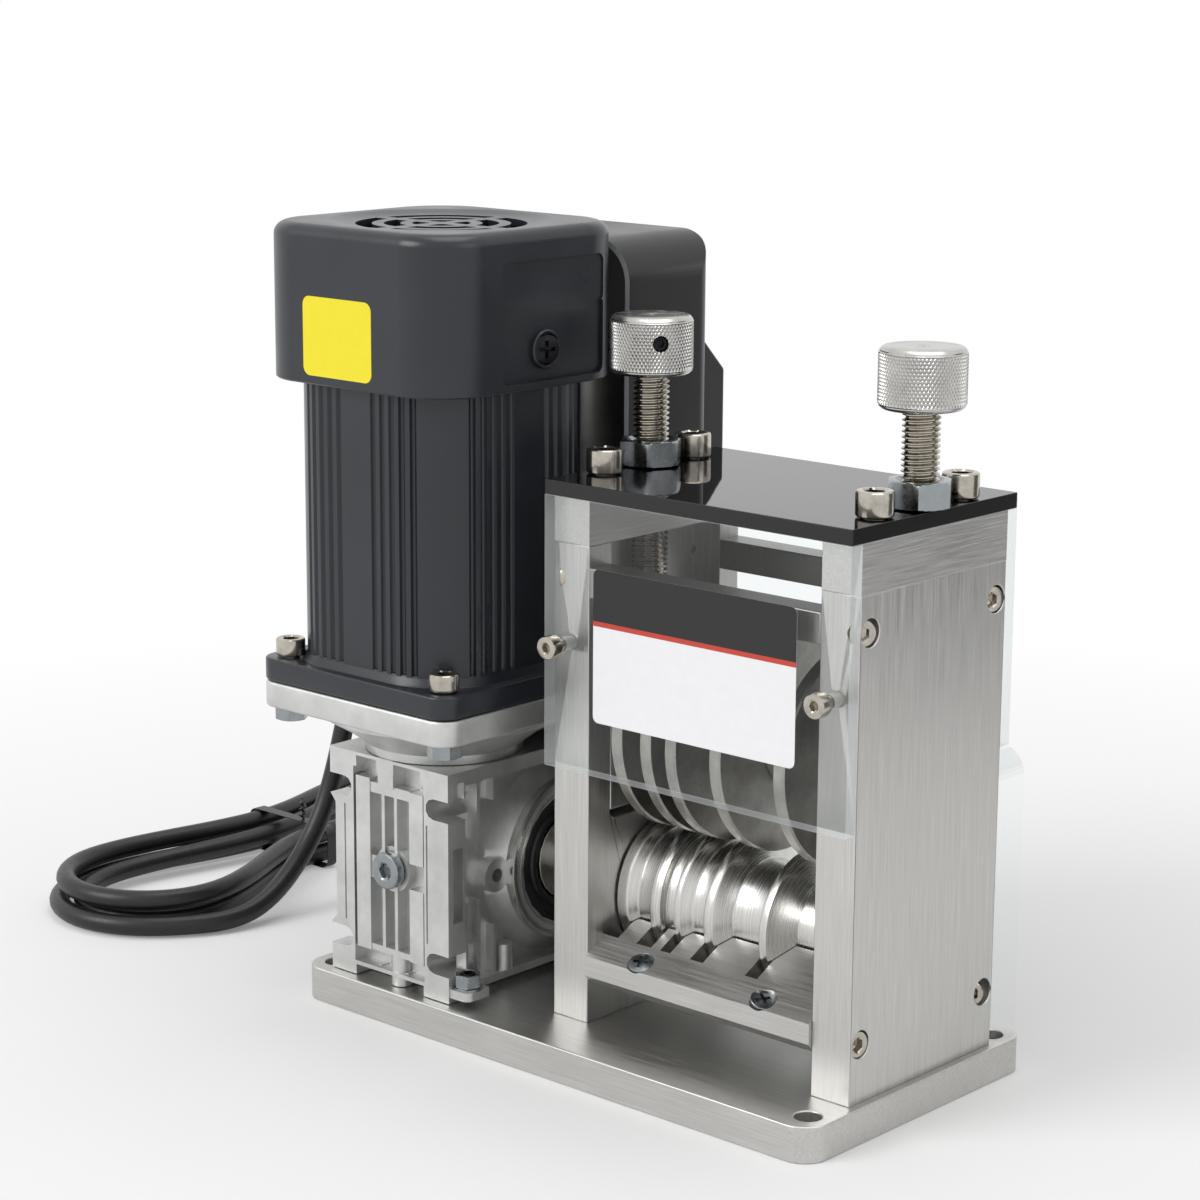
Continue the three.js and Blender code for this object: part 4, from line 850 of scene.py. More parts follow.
def seen_rays(tree):
    """One for rays that reach the camera straight, by a reflection or through clear sheet."""
    rays = add_node(tree, "ShaderNodeLightPath").outputs
    straight = worked(tree, "ADD", rays["Is Camera Ray"], rays["Is Glossy Ray"])
    return worked(tree, "ADD", straight, rays["Is Transmission Ray"], use_clamp=True)


def studio_felt(tree):
    """Wool felt of the studio flag: matt grey with an uneven pile."""
    pile = blend(tree, noise(tree, (3, 3, 3)), (0.16, 0.16, 0.16, 1), (0.20, 0.20, 0.20, 1))
    return add_node(tree, "ShaderNodeBsdfDiffuse", {"Color": pile}).outputs[0]


def studio_paper(tree):
    """Seamless paper: matt and faintly mottled near the machine, and plain white far from it."""
    tone = bpy.context.scene.stripper_stage.floor
    mottle = blend(tree, noise(tree, (60, 60, 60)), shade(tone, 0.99), shade(tone, 1.01))
    matt = add_node(tree, "ShaderNodeBsdfDiffuse", {"Color": mottle}).outputs[0]
    white = add_node(tree, "ShaderNodeEmission", {"Color": WHITE, "Strength": 1.0}).outputs[0]
    spot = add_node(tree, "ShaderNodeTexCoord").outputs["Object"]
    away = add_node(tree, "ShaderNodeVectorMath", {0: spot}, operation="LENGTH").outputs["Value"]
    share = worked(tree, "MULTIPLY", seen_rays(tree), spread(tree, away, 0.0, 1.0, 0.10, 0.62))
    return add_node(tree, "ShaderNodeMixShader", {0: share, 1: matt, 2: white}).outputs[0]


def studio_air(tree):
    """Soft light from all round, seen as plain white."""
    strengths = (bpy.context.scene.stripper_stage.ambient, 1.0)
    soft, white = (add_node(tree, "ShaderNodeBackground", {"Color": WHITE, "Strength": strength}).outputs[0]
                   for strength in strengths)
    return add_node(tree, "ShaderNodeMixShader", {0: seen_rays(tree), 1: soft, 2: white}).outputs[0]


# Operators


class STRIPPER_OT_stage(bpy.types.Operator):
    """Pale floor, white surroundings, soft lamps and the camera at the photograph's angle"""

    bl_idname = "stripper.stage"
    bl_label = "Stage"

    # Where the lamps point, and each one's place and width
    target = Vector((-0.03, 0, 0.12))
    lamps = {
        "key": ((-0.9, -1.9, 1.5), 1.3),
        "fill": ((1.9, 0.2, 1.1), 1.1),
        "top": ((0.1, 0.2, 1.9), 1.2),
    }
    floor_radius = 6

    def execute(self, context):
        settings = context.scene.stripper_stage
        context.scene.view_settings.view_transform = "Standard"
        self.add_camera(context, settings)
        bm = bmesh.new()
        bmesh.ops.create_circle(bm, cap_ends=True, segments=96, radius=self.floor_radius)
        floor = new_object("floor", mesh_of(bm, "floor"))
        floor.data.materials.append(material_of("seamless_paper", studio_paper))
        context.scene.world = shaded(bpy.data.worlds.new("studio"), "ShaderNodeOutputWorld", studio_air)
        for name, (place, width) in self.lamps.items():
            lamp = bpy.data.lights.new(name, "AREA")
            lamp.size = width
            lamp.energy = getattr(settings, f"{name}_power")
            lamp_object = new_object(name, lamp)
            lamp_object.location = place
            aim = self.target - Vector(place)
            lamp_object.rotation_euler = aim.to_track_quat("-Z", "Y").to_euler()
        self.add_flag()
        return {"FINISHED"}

    def add_flag(self):
        """Dark studio flag that only reflections show; it draws the dark bands on bright metal."""
        flag = sheet("y", [rounded((-0.17, 0), (0.17, 0.36), 0)], -MM, MM)
        flag.transform(Matrix.Translation((0.46, 0.42, 0)) @ Matrix.Rotation(math.radians(-48), 4, "Z"))
        screen = new_object("flag", flag)
        flag.materials.append(material_of("grey_felt", studio_felt))
        for kind in ("camera", "diffuse", "transmission", "shadow"):
            setattr(screen, f"visible_{kind}", False)

    def add_camera(self, context, settings):
        """Camera that was solved from the photograph's straight edges."""
        place = Vector((0.6406, -0.7393, 0.3660))
        turn, tilt, roll = (math.radians(angle) for angle in (42.012, 12.468, 0.3355))
        back = Vector((math.sin(turn) * math.cos(tilt), -math.cos(turn) * math.cos(tilt), math.sin(tilt)))
        right = Vector((math.cos(turn), math.sin(turn), 0))
        up = back.cross(right)
        across = right * math.cos(roll) + up * math.sin(roll)
        above = up * math.cos(roll) - right * math.sin(roll)
        camera = bpy.data.cameras.new("camera")
        camera.lens = settings.lens
        camera.sensor_width = 36
        camera_object = new_object("camera", camera)
        matrix = Matrix((across, above, back)).transposed().to_4x4()
        camera_object.matrix_world = Matrix.Translation(place) @ matrix
        context.scene.camera = camera_object


# The free stretch of the mains cord, from the gland's tip down to the hank, in metres
CORD_ROUTE = [
    (-0.1386, 0.040, 0.118),
    (-0.1462, 0.040, 0.118),
    (-0.1578, 0.0398, 0.1161),
    (-0.1683, 0.0388, 0.1106),
    (-0.176, 0.037, 0.1018),
    (-0.180, 0.0348, 0.0915),
    (-0.182, 0.0322, 0.080),
    (-0.1834, 0.0298, 0.068),
    (-0.1846, 0.0273, 0.056),
    (-0.1856, 0.024, 0.0443),
    (-0.186, 0.0188, 0.033),
    (-0.1858, 0.0112, 0.023),
    (-0.1846, 0.0015, 0.015),
    (-0.1832, -0.0093, 0.0092),
    (-0.183, -0.0203, 0.0056),
    (-0.1851, -0.031, 0.0043),
    (-0.1894, -0.04015, 0.0041),
]
# The hank seen from above: two round ends and a waist, each as X, Y and half its width
HANK_NEAR = (-0.228, -0.027, 0.040)
HANK_WAIST = (-0.236, 0.050, 0.019)
HANK_FAR = (-0.231, 0.114, 0.038)
# Stations round one loop, the station where the hank starts, and the stations that it runs through
HANK_STATIONS = 24
HANK_FIRST = 1
HANK_STEPS = 62
HANK_TAIL = 0.036
FLOOR_GAP = 0.0003


def smooth_share(share):
    return share * share * (3 - 2 * share)


def hank_flank(side, share, inset):
    """Place along one flank of the hank, from its near end by way of the waist to its far end."""
    spots = [Vector((x + side * (half - inset), y)) for x, y, half in (HANK_NEAR, HANK_WAIST, HANK_FAR)]
    start, end = spots[:2] if share <= 0.5 else spots[1:]
    part = 2 * share if share <= 0.5 else 2 * share - 1
    return start.x + (end.x - start.x) * smooth_share(part), start.y + (end.y - start.y) * part


def hank_place(station, inset):
    """Place of a station on the hank's loop: near end, left flank, far end, right flank."""
    quarter = HANK_STATIONS / 4
    share = (station % quarter) / quarter
    stretch = int(station // quarter) % 4
    if stretch == 1:
        return hank_flank(-1, share, inset)
    if stretch == 3:
        return hank_flank(1, 1 - share, inset)
    angle = math.pi * (share - 0.5)
    x, y, radius = HANK_NEAR if stretch == 0 else HANK_FAR
    way = -1 if stretch == 0 else 1
    radius -= inset
    return x + way * radius * math.sin(angle), y + way * radius * math.cos(angle)


def cord_line(settings, per_station=4, per_point=8, tail_steps=8, smoothings=10):
    """Centre line of the whole cord, from the gland to the plug."""
    points = [Vector(point) for point in CORD_ROUTE]
    ends = [points[0] * 2 - points[1]] + points + [points[-1] * 2 - points[-2]]
    line = []
    for p0, p1, p2, p3 in zip(ends, ends[1:], ends[2:], ends[3:]):
        for i in range(per_point):
            t = i / per_point
            line.append(0.5 * (2 * p1 + (p2 - p0) * t + (2 * p0 - 5 * p1 + 4 * p2 - p3) * t ** 2
                               + (3 * p1 - p0 - 3 * p2 + p3) * t ** 3))
    turns = HANK_STEPS / HANK_STATIONS
    level = settings.diameter / 2 + FLOOR_GAP
    for step in range(HANK_STEPS * per_station + 1):
        turn = step / per_station / HANK_STATIONS
        inset = settings.turn_pitch * min(turn, turns - turn)
        climb = min(max(2 * (turn - turns / 2) + 0.5, 0), 1)
        x, y = hank_place(HANK_FIRST + step / per_station, inset)
        line.append(Vector((x, y, level + settings.layer_pitch * smooth_share(climb))))
    end = line[-1]
    line += [end + Vector((HANK_TAIL * (i + 1) / tail_steps, 0, 0)) for i in range(tail_steps)]
    for _ in range(smoothings):
        inner = [(a + 2 * b + c) / 4 for a, b, c in zip(line, line[1:], line[2:])]
        line = [line[0]] + inner + [line[-1]]
    return line


class STRIPPER_OT_cord(bpy.types.Operator):
    """Mains cord with its gland, its tied hank and its plug"""

    bl_idname = "stripper.cord"
    bl_label = "Mains cord"

    gland_ribs = 5
    gland_flange = 3 * MM
    plug_pins = 19 * MM
    pin_spacing = 19 * MM
    # The plug's boot as (share of its length, radius in millimetres)
    boot = ((0.0, 5.0), (0.08, 5.2), (0.10, 4.7), (0.16, 4.9), (0.18, 5.6),
            (0.24, 5.8), (0.26, 5.2), (0.32, 5.5), (0.34, 6.3), (0.39, 6.6))
    # Its grip as (share of its length, half width, half height, power of the oval)
    grip = ((0.42, 8.5, 7.6, 2.2), (0.50, 13.6, 10.6, 2.6), (0.58, 15.4, 11.6, 3), (0.68, 14.6, 11.0, 3.2),
            (0.80, 15.6, 11.7, 3.4), (0.90, 17.0, 12.1, 3.6), (0.97, 17.0, 12.1, 3.6), (1.0, 16.2, 11.4, 3.6))

    def execute(self, context):
        settings = context.scene.stripper_cord
        line = cord_line(settings)
        curve = bpy.data.curves.new("mains_lead", "CURVE")
        curve.dimensions = "3D"
        curve.bevel_depth = settings.diameter / 2
        curve.bevel_resolution = 6
        curve.use_fill_caps = True
        spline = curve.splines.new("POLY")
        spline.points.add(len(line) - 1)
        for point, place in zip(spline.points, line):
            point.co = (*place, 1)
        lead = new_object("mains_lead", curve)
        curve.materials.append(finish("pvc_jacket"))
        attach(lead, "frame")
        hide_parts("mains_cord", "cord_hank")
        gland = self.add_gland(settings)
        plug = self.add_plug()
        tie = self.add_tie(settings)
        return {"FINISHED"}

    def add_gland(self, settings):
        """Flange against the box and a tapered, ribbed relief down to the cord."""
        low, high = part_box("cable_gland")
        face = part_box("control_box")[0].x
        start, end = face - self.gland_flange, low.x
        profile = offsets(high.x, (0, 0), (0, 6)) + offsets(face, (0, 6), (-0.2, 8.7), (-0.8, 9))
        profile += offsets(start, (0.6, 9), (0, 8.4))
        steps = self.gland_ribs * 6
        for i in range(steps + 1):
            share = i / steps
            radius = (7 - 2.2 * share) * MM
            wave = 0.5 - 0.5 * math.cos(2 * math.pi * share * self.gland_ribs)
            groove = 0.55 * MM * wave if share < 0.98 else 0
            profile.append((start + (end - start) * share, radius - groove))
        profile += [(end, settings.diameter / 2 + 0.1 * MM), (end, 0)]
        mesh = smoothed(turned("x", middle("cable_gland").yz, profile, 48), 40)
        return piece_of("gland_relief", mesh, "nitrile_rubber", "frame", "cable_gland")

    def add_plug(self, steps=64):
        """Moulded two-pin plug with a ribbed boot and a waisted grip."""
        low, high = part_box("plug")
        centre = middle("plug").yz
        half_width, half_height = (high.y - low.y) / 2, (high.z - low.z) / 2
        face = high.x - self.plug_pins
        rings = []
        ovals = [(share, radius, radius, 2) for share, radius in self.boot] + list(self.grip)
        for share, width, height, bulge in ovals:
            width = min(width * MM, half_width)
            height = min(height * MM, half_height)
            ring = []
            for i in range(steps):
                angle = 2 * math.pi * i / steps
                c, s = math.cos(angle), math.sin(angle)
                u = math.copysign(abs(c) ** (2 / bulge), c) * width
                v = math.copysign(abs(s) ** (2 / bulge), s) * height
                ring.append(on_axis("x", centre, low.x + (face - low.x) * share, u, v))
            rings.append(ring)
        plug = piece_of("plug_body", smoothed(lofted(rings), 40), "moulded_plastic", "frame", "plug")
        radius = 2.4 * MM
        profile = eased([(face - MM, 0), (face - MM, radius), (high.x, radius), (high.x, 0)], 1.6 * MM, 5)
        posts = []
        for side in (-1, 1):
            spot = (centre[0] + side * self.pin_spacing / 2, centre[1])
            posts.append(turned("x", spot, profile, 32))
        piece_of("plug_pins", smoothed(joined(posts), 40), "nickel_plate", "frame")
        return plug

    def add_tie(self, settings):
        """Flat tie round the hank's waist, with its twisted ends on top."""
        x, y, half = HANK_WAIST
        reach = half + settings.diameter / 2 + 0.4 * MM
        bottom, top = 0.01 * MM, 2 * FLOOR_GAP + settings.diameter + settings.layer_pitch + 0.3 * MM
        strip, corner = 0.26 * MM, 4 * MM
        left, right = x - reach, x + reach
        outer = rounded((left, bottom), (right, top), corner, 8)
        inner = rounded((left + strip, bottom + strip), (right - strip, top - strip), corner - strip, 8)
        band = sheet("y", [outer, inner], y - settings.tie_width / 2, y + settings.tie_width / 2)
        tail = threaded((x + 6 * MM, y), 1.5 * MM, 2.6 * MM, top - strip, top + 9 * MM, 20)
        return piece_of("hank_tie", smoothed(joined([band, tail]), 40), "moulded_plastic", "frame")


class STRIPPER_OT_base(bpy.types.Operator):
    """Base plate with its four fixing holes"""

    bl_idname = "stripper.base"
    bl_label = "Base plate"

    corner = 9 * MM
    hole_radius = 4.35 * MM
    hole_inset = (8.2 * MM, 9.8 * MM)

    def execute(self, context):
        low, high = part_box("base_plate")
        across, back = self.hole_inset
        holes = [circle((x, y), self.hole_radius)
                 for x in (low.x + across, high.x - across) for y in (low.y + back, high.y - back)]
        outline = rounded(low.xy, high.xy, self.corner, 14)
        mesh = levelled(sheet("z", [outline] + holes, low.z, high.z, 0.5 * MM))
        fine_piece("base_plate", mesh, "brushed_along_x")
        return {"FINISHED"}


def side_screw_places(side):
    """Middles of the four screw seats in a side plate's outer face."""
    low, high = PLATES[side]
    x = high.x if side == "right" else low.x
    inset, heights = 5 * MM, (31.2 * MM, 161.2 * MM)
    return [Vector((x, y, z)) for y in (low.y + inset, high.y - inset) for z in heights]


class STRIPPER_OT_head(bpy.types.Operator):
    """Side plates with their pockets and screw seats, top bars, tie bars and bearings"""

    bl_idname = "stripper.head"
    bl_label = "Head frame"

    pocket_depth = 12 * MM
    pocket_width = 54.6 * MM
    pocket_floor = 80 * MM
    pocket_corners = (3 * MM, 3 * MM, 0, 0)
    bearing_depth = 10.3 * MM
    bearing_radius = 17.8 * MM
    output_radius = 8.8 * MM
    # Hole for the front shield's screw
    hole_height = 140.5 * MM
    hole_depth = 8.3 * MM
    hole_radius = 2.3 * MM
    # Seats of the four screws in the outer face
    seat_radius = 4.5 * MM
    seat_depth = 5.3 * MM

    def execute(self, context):
        for side, way in SIDES.items():
            self.add_plate(side, way)
            dressed(f"{side}_top_bar", "brushed_along_y", 0.3)
            dressed(f"{side}_feed_bearing", "hardened_steel", 0.3)
            dressed(f"{side}_bearing_block", "brushed_along_z", 0.4)
        # The bars take the darkened aluminium, whose darkening is painted shade
        for node in ("front_tie_bar", "rear_tie_bar", "rear_lower_bar"):
            dressed(node, "milled_bar", 0.4)
        return {"FINISHED"}

    def add_plate(self, side, way):
        low, high = PLATES[side]
        outer, inner = (high.x, low.x) if way > 0 else (low.x, high.x)
        over = 2 * MM
        y, half = FEED_AXIS[0], self.pocket_width / 2
        pocket = rounded((y - half, self.pocket_floor), (y + half, high.z + over), self.pocket_corners)
        pocket_ends = sorted((inner - way * over, inner + way * self.pocket_depth))
        bearing_ends = sorted((inner - way * over, inner + way * self.bearing_depth))
        hole = ((low.x + high.x) / 2, self.hole_height)
        tools = [
            sheet("x", [pocket], *pocket_ends),
            rod("x", FEED_AXIS, *bearing_ends, self.bearing_radius, 72),
            rod("y", hole, low.y - over, low.y + self.hole_depth, self.hole_radius, 32),
        ]
        if side == "left":
            tools.append(rod("x", FEED_AXIS, low.x - over, high.x, self.output_radius))
        seat_ends = sorted((outer + way * over, outer - way * self.seat_depth))
        for place in side_screw_places(side):
            tools.append(rod("x", place.yz, *seat_ends, self.seat_radius, 48))
        mesh = softened(carved(block(low, high), tools), 0.3 * MM)
        fine_piece(f"{side}_side_plate", mesh, "brushed_along_z")


class STRIPPER_OT_covers(bpy.types.Operator):
    """Gloss black top cover, clear shields and the clear guide block"""

    bl_idname = "stripper.covers"
    bl_label = "Cover and shields"

    screw_hole = 4.3 * MM
    adjuster_hole = 6.3 * MM
    shield_hole = 2.3 * MM
    # Radius in millimetres of the cable's hole behind each blade, and the height of the holes
    guide_holes = (3.5, 2.6, 4.5, 7.5, 10.0)
    guide_height = 79 * MM

    def execute(self, context):
        low, high = COVER
        holes = [circle(middle(f"cover_screw_{i}").xy, self.screw_hole) for i in range(1, 5)]
        holes += [circle(KNOBS[side].xy, self.adjuster_hole) for side in SIDES]
        outline = rounded(low.xy, high.xy, 0.4 * MM, 3)
        mesh = levelled(sheet("z", [outline] + holes, low.z, high.z, 0.25 * MM))
        fine_piece("top_cover", mesh, "gloss_black_acrylic")
        holes = [circle(middle(f"{side}_shield_screw").xz, self.shield_hole, 32) for side in SIDES]
        self.add_shield("front_shield", holes)
        self.add_shield("rear_shield", [])
        self.add_guide_block()
        return {"FINISHED"}

    def add_shield(self, node, holes):
        low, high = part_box(node)
        outline = rounded(low.xz, high.xz, 0.5 * MM, 3)
        mesh = levelled(sheet("y", [outline] + holes, low.y, high.y, 0.2 * MM))
        self.add_clear(node, mesh, "cast_clear_sheet")

    def add_guide_block(self):
        """Block with a hole for each size of cable, flared at the back."""
        low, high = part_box("rear_guide_block")
        outline = rounded(low.xz, high.xz, (0.4 * MM, 0.4 * MM, 9 * MM, 9 * MM), 12)
        holes, mouths = [], []
        for i, radius in enumerate(self.guide_holes):
            spot = (middle(f"blade_{i + 1}").x, self.guide_height)
            holes.append(circle(spot, radius * MM))
            profile = offsets(high.y, (-3, 0), (-3, radius), (1, radius + 2.4), (1, 0))
            mouths.append(turned("y", spot, profile, 56))
        mesh = carved(sheet("y", [outline] + holes, low.y, high.y), mouths)
        self.add_clear("rear_guide_block", softened(mesh, 0.25 * MM), "cast_clear_block")

    def add_clear(self, node, mesh, material):
        """Clear piece that takes no light from what is behind it."""
        piece = fine_piece(node, mesh, material)
        piece.visible_shadow = False
        piece.visible_diffuse = False


# Grooves of the feed roller as from, to, flank and bottom radius, in millimetres from the left plate
ROLLER_GROOVES = ((5.0, 15.0, 2.0, 20.8), (19.4, 25.2, 0.2, 21.2), (27.6, 38.0, 2.6, 20.2),
                  (41.5, 61.0, 3.5, 17.5), (64.0, 90.0, 4.5, 13.5))
RIM_RADIUS = 24.2
COMB_SLOPE = math.atan2(13, 25.5)


def roller_outline(start, end, margin=0.0):
    """Grooved outline of the feed roller between two places, grown by a margin, all in millimetres."""
    rim = RIM_RADIUS + margin
    points = [(start, rim)]
    for near, far, flank, bottom in ROLLER_GROOVES:
        floor = bottom + margin
        points += [(near, rim), (near + flank, floor), (far - flank, floor), (far, rim)]
    points.append((end, rim))
    return offsets(PLATES["left"][1].x, *points)


def comb_screw_places():
    """Middles of the two screws on the comb's ramp."""
    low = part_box("guide_comb")[0]
    back = 3.5 * MM
    height = low.z + 10 * MM + back * math.tan(COMB_SLOPE)
    return [Vector((x * MM, low.y + back, height)) for x in (22.7, 73.9)]


class STRIPPER_OT_feed(bpy.types.Operator):
    """Grooved feed roller and the guide comb in front of it"""

    bl_idname = "stripper.feed"
    bl_label = "Feed roller and comb"

    def execute(self, context):
        low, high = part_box("feed_roller")
        left, right = PLATES["left"][1].x, PLATES["right"][0].x
        output, journal, gap = 7 * MM, 8.5 * MM, 0.6
        step = left - 10.3 * MM
        profile = [(low.x, 0), (low.x, output), (step, output), (step, journal), (left + gap * MM, journal)]
        profile += roller_outline(gap, (right - left) / MM - gap)
        profile += [(right - gap * MM, journal), (high.x, journal), (high.x, 0)]
        mesh = smoothed(turned("x", FEED_AXIS, eased(profile, 0.5 * MM), 128))
        fine_piece("feed_roller", mesh, "turned_roller")
        self.add_comb(left, right)
        return {"FINISHED"}

    def add_comb(self, left, right):
        """Ramp in front of the roller, with a tooth that reaches into each of its grooves."""
        low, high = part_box("guide_comb")
        chamfer, face, rise = 3.2 * MM, 10 * MM, 13 * MM
        section = [
            (low.y, low.z + chamfer), (low.y + chamfer, low.z), (high.y, low.z),
            (high.y, low.z + face + rise), (low.y, low.z + face),
        ]
        over, clearance = 1.5, 0.7
        outline = roller_outline(-over, (right - left) / MM + over, clearance)
        over *= MM
        tools = [turned("x", FEED_AXIS, [(left - over, 0)] + outline + [(right + over, 0)], 128)]
        starts = [0.0] + [groove[1] for groove in ROLLER_GROOVES[:-1]]
        for start, groove in zip(starts, ROLLER_GROOVES):
            tools.append(block((left + (start - 1) * MM, low.y + 10 * MM, low.z + face),
                               (left + (groove[0] + 1) * MM, high.y + over, high.z + over)))
        for place in comb_screw_places():
            seat = turned("z", (0, 0), offsets(0, (-3, 0), (-3, 2.6), (0, 4.7), (2, 6.2), (2, 0)), 48)
            seat.transform(Matrix.Translation(place) @ Matrix.Rotation(COMB_SLOPE, 4, "X"))
            tools.append(seat)
        mesh = carved(sheet("x", [section], left, right), tools)
        fine_piece("guide_comb", softened(mesh, 0.25 * MM), "brushed_along_x")


class STRIPPER_OT_blades(bpy.types.Operator):
    """Five blade discs on their arbor, with the spacing hubs between them"""

    bl_idname = "stripper.blades"
    bl_label = "Blades and arbor"

    bore, grind, edge = 10.3 * MM, 6 * MM, 0.6 * MM

    def execute(self, context):
        bore, grind, edge = self.bore, self.grind, self.edge
        for i in range(1, 6):
            low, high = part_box(f"blade_{i}")
            rim = (high.z - low.z) / 2
            profile = [(low.x, bore), (low.x, rim - grind), (low.x, rim - edge), (low.x + edge, rim),
                       (high.x - edge, rim), (high.x, rim - edge), (high.x, rim - grind), (high.x, bore)]
            mesh = smoothed(turned("x", BLADE_AXIS, profile, 128, loop=True))
            fine_piece(f"blade_{i}", mesh, "hardened_steel")
        dressed("blade_shaft", "hardened_steel", 0.4)
        return {"FINISHED"}


class STRIPPER_OT_adjusters(bpy.types.Operator):
    """Threaded adjusting screws, lock nuts and knurled knobs"""

    bl_idname = "stripper.adjusters"
    bl_label = "Height adjusters"

    thread_radius = 6 * MM
    tip_radius = 2.5 * MM
    tip_length = 8.3 * MM
    nut_flats = 18.9 * MM
    nut_bore = 6.1 * MM
    nut_turn = math.radians(4.5)
    knob_bore = 6.2 * MM
    # Direction of the set screw, seen from above, and its height on the knob
    set_angle = math.radians(-36)
    set_height = 11 * MM

    def execute(self, context):
        settings = context.scene.stripper_knobs
        pitch = context.scene.stripper_fasteners.thread_pitch
        tree = knurl_tree()
        for side in SIDES:
            centre = KNOBS[side][:2]
            low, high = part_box(f"{side}_adjuster_screw")
            start = low.z + self.tip_length
            thread = threaded(centre, self.thread_radius, pitch, start, high.z)
            tip = [(low.z, 0), (low.z, self.tip_radius), (start + MM, self.tip_radius), (start + MM, 0)]
            tip = turned("z", centre, eased(tip, 0.5 * MM), 32)
            fine_piece(f"{side}_adjuster_screw", smoothed(joined([thread, tip]), 50), "nickel_plate")

            low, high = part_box(f"{side}_lock_nut")
            nut = hex_nut(self.nut_flats, high.z - low.z, self.nut_bore)
            copies(f"{side}_lock_nut_fine", nut, [(*centre, low.z)], [(0, 0, self.nut_turn)], "zinc_plate",
                   f"{side}_nut", f"{side}_lock_nut")
            self.add_knob(side, centre, settings, tree)
        self.add_set_screw(settings)
        return {"FINISHED"}

    def add_knob(self, side, centre, settings, tree):
        low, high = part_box(f"{side}_knob")
        rim = (high.x - low.x) / 2
        plain, face = rim - 0.3 * MM, rim - 1.0 * MM
        start, end = low.z + settings.rim, high.z - settings.rim
        rows = round((end - start) / settings.pitch * 8)
        bore = self.knob_bore / MM
        profile = offsets(low.z, (13, 0), (13, bore), (0.4, bore), (0, bore + 0.4))
        profile += [(low.z, face - 0.5 * MM), (low.z + 0.25 * MM, face), (low.z + MM, plain),
                    (start - 0.35 * MM, plain)]
        profile += [(start + (end - start) * i / rows, rim) for i in range(rows + 1)]
        profile += [(end + 0.35 * MM, plain), (high.z - MM, plain), (high.z - 0.25 * MM, face),
                    (high.z, face - 0.5 * MM), (high.z, 0.5 * MM), (high.z - 0.2 * MM, 0)]
        mesh = turned("z", centre, profile, settings.count * 8)
        mesh = grown(mesh, tree, Centre=(*centre, 0.0), Count=float(settings.count), Pitch=settings.pitch,
                     Depth=settings.depth, Low=start + 0.1 * MM, High=end - 0.1 * MM,
                     Finish=finish("spun_aluminium"))
        if side == "left":
            mesh = carved(mesh, [self.set_hole(settings)])
        fine_piece(f"{side}_knob", smoothed(mesh, 28), "spun_aluminium")

    def set_frame(self):
        """Frame on the left knob's rim whose Z points out along the set screw."""
        low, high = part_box("left_knob")
        way = Vector((math.cos(self.set_angle), math.sin(self.set_angle), 0))
        place = Vector((*KNOBS["left"][:2], low.z + self.set_height)) + way * ((high.x - low.x) / 2)
        return Matrix.Translation(place) @ way.to_track_quat("Z", "Y").to_matrix().to_4x4()

    def set_hole(self, settings):
        """Cutting tool of the set screw's hole."""
        radius = settings.set_hole / 2
        profile = [(-4.5 * MM, 0), (-4.5 * MM, radius), (-0.4 * MM, radius), (MM, radius + 0.6 * MM), (MM, 0)]
        tool = turned("z", (0, 0), profile, 40)
        tool.transform(self.set_frame())
        return tool

    def add_set_screw(self, settings):
        radius = settings.set_hole / 2 - 0.1 * MM
        flats = 2.6
        profile = [(-4.4 * MM, 0), (-4.4 * MM, radius), (-1.6 * MM, radius), (-1.2 * MM, radius - 0.4 * MM)]
        profile += offsets(0, (-1.2, flats * 0.62), (-1.3, 2 * flats, flats), (-3.2, 2 * flats, flats),
                           (-3.4, 0))
        mesh = turned("z", (0, 0), profile, 48)
        mesh.transform(self.set_frame())
        piece_of("knob_set_screw", smoothed(mesh, 30), "black_oxide", "left_adjuster")


# Middle of the clamping lug beside the gearbox's right foot, and its height above the base plate
LUG = (-40.8 * MM, -48.0 * MM)
LUG_TOP = 5.5 * MM


